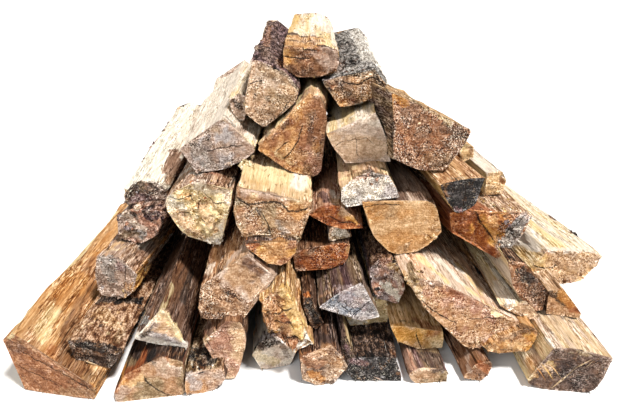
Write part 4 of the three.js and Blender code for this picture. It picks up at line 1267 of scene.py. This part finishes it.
def build(name, node, look, index):
    """The piece that dresses one log's node."""
    log = Log(node)
    seed = 1000 + 50 * index
    rng = np.random.default_rng(seed)
    parts = Parts()
    side = add_side(parts, log, look, seed)
    add_ends(parts, log, look, side, seed, rng)
    add_splinters(parts, log, look, side, name, rng)
    add_flakes(parts, log, look, side, name, rng)

    p, tone, specks = (np.concatenate(values) for values in (parts.points, parts.tones, parts.specks))
    own = p.copy()
    own[:, 1] -= log.front[0] + log.front[1] * p[:, 0] + log.front[2] * p[:, 2]
    mark, wear_and_painted_light = marks_on(own, tone, specks, name, look.bevels, seed)
    cracks, beside = crack_field(own, CRACKS.get(name, []), seed + 90)
    pith_x, pith_z = rng.uniform(-30, 30), log.points[:, 2].min() - PITH_BELOW
    x, z = p[:, 0] - pith_x, p[:, 2] - pith_z
    rings = np.column_stack([np.hypot(x, z), np.arctan2(x, z) * RING_TURN, 0 * x]) * MM

    mesh = bpy.data.meshes.new(name.replace("_log", "") + "_wood")
    points = log.world(p)
    points[:, 2] = np.maximum(points[:, 2], 0)
    mesh.from_pydata(points.tolist(), [], parts.faces)
    mesh.polygons.foreach_set("material_index", np.array(parts.kinds, dtype=np.int32))
    mesh.polygons.foreach_set("use_smooth", np.ones(len(mesh.polygons), dtype=bool))
    store(mesh, "tone", "FLOAT_COLOR", np.column_stack([np.clip(tone, 0, 1), np.ones(len(p))]))
    store(mesh, "mark", "FLOAT_COLOR", np.column_stack([np.clip(mark, 0, 1), np.ones(len(p))]))
    store(mesh, "grain", "FLOAT_VECTOR", p * MM + index * GRAIN_SHIFT)
    store(mesh, "rings", "FLOAT_VECTOR", rings)
    store(mesh, "wear_and_painted_light", "FLOAT_VECTOR", wear_and_painted_light)
    store(mesh, "crack", "FLOAT_VECTOR", np.column_stack([cracks, beside, np.concatenate(parts.rims)]))
    mesh.set_sharp_from_angle(angle=math.radians(SHARP_EDGE))
    for material in MATERIALS:
        mesh.materials.append(material)
    piece = bpy.data.objects.new(mesh.name, mesh)
    bpy.context.scene.collection.objects.link(piece)
    return piece


def read_look(name, words):
    """A log's look from its row of LOOKS, and the bevels of its front end."""
    bevels = []
    for line, away, slope, tone, *strengths in BEVELS.get(name, []):
        bevels.append((*numbers(line), *numbers(away), float(slope), tone, *map(float, strengths)))
    speck, torn = map(float, words[2:4])
    top, left, right = words[4:6], words[6:8], words[8:10]
    return SimpleNamespace(
        end=words[:2], speck=speck, torn=torn, top=top, left=left, right=right, bark=words[10:], bevels=bevels
    )


for index, line in enumerate(LOOKS.strip().split("\n")):
    name, *words = line.split()
    piece = build(name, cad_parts[name], read_look(name, words), index)
    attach(piece, "root")
    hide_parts(name)


# Stage, light and camera


def placed(name, data, at=(0, 0, 0)):
    """A new object in the scene for a mesh, a light or a camera."""
    thing = bpy.data.objects.new(name, data)
    bpy.context.scene.collection.objects.link(thing)
    thing.location = at
    return thing


def aim(lamp, towards):
    """Turns a light so that it shines along a vector."""
    lamp.rotation_euler = Vector(towards).to_track_quat("-Z", "Y").to_euler()


def floor():
    """The plain pale floor of the studio."""
    n = Nodes("studio_floor")
    n.join((0.9, 0.9, 0.9, 1), n.shader.inputs["Base Color"])
    n.join(0.9, n.shader.inputs["Roughness"])
    mesh = bpy.data.meshes.new("floor")
    corners = [(-FLOOR, -FLOOR, 0), (FLOOR, -FLOOR, 0), (FLOOR, FLOOR, 0), (-FLOOR, FLOOR, 0)]
    mesh.from_pydata(corners, [], [(0, 1, 2, 3)])
    mesh.materials.append(n.material)
    placed("floor", mesh)


def sunlight():
    """The key light, from the right, the front and above, as in the photo."""
    sun = bpy.data.lights.new("key", "SUN")
    sun.energy, sun.angle, sun.color = SUN_STRENGTH, math.radians(SUN_WIDTH), (1.0, 0.97, 0.93)
    aim(placed("key", sun), SUN_TOWARDS)


def fill_light():
    """A wide soft light from the left of the camera."""
    fill = bpy.data.lights.new("fill", "AREA")
    fill.shape, fill.size, fill.energy = "DISK", FILL_WIDTH, FILL_POWER
    aim(placed("fill", fill, FILL_AT), Vector(FILL_TOWARDS) - Vector(FILL_AT))


def sky():
    """An even white light from all around, and plain colours in the render."""
    world = bpy.data.worlds.new("studio")
    world.use_nodes = True
    world.node_tree.nodes["Background"].inputs["Color"].default_value = (1, 1, 1, 1)
    world.node_tree.nodes["Background"].inputs["Strength"].default_value = SKY_STRENGTH
    bpy.context.scene.world = world
    bpy.context.scene.view_settings.view_transform = "Standard"


def photo_camera():
    """The camera at the photo's viewing angle."""
    view = bpy.data.cameras.new("camera")
    view.lens, view.sensor_width = LENS, 36
    camera = placed("camera", view, CAMERA_AT)
    camera.rotation_euler = (math.radians(90 - CAMERA_PITCH), 0, 0)
    bpy.context.scene.camera = camera


floor()
sunlight()
fill_light()
sky()
photo_camera()
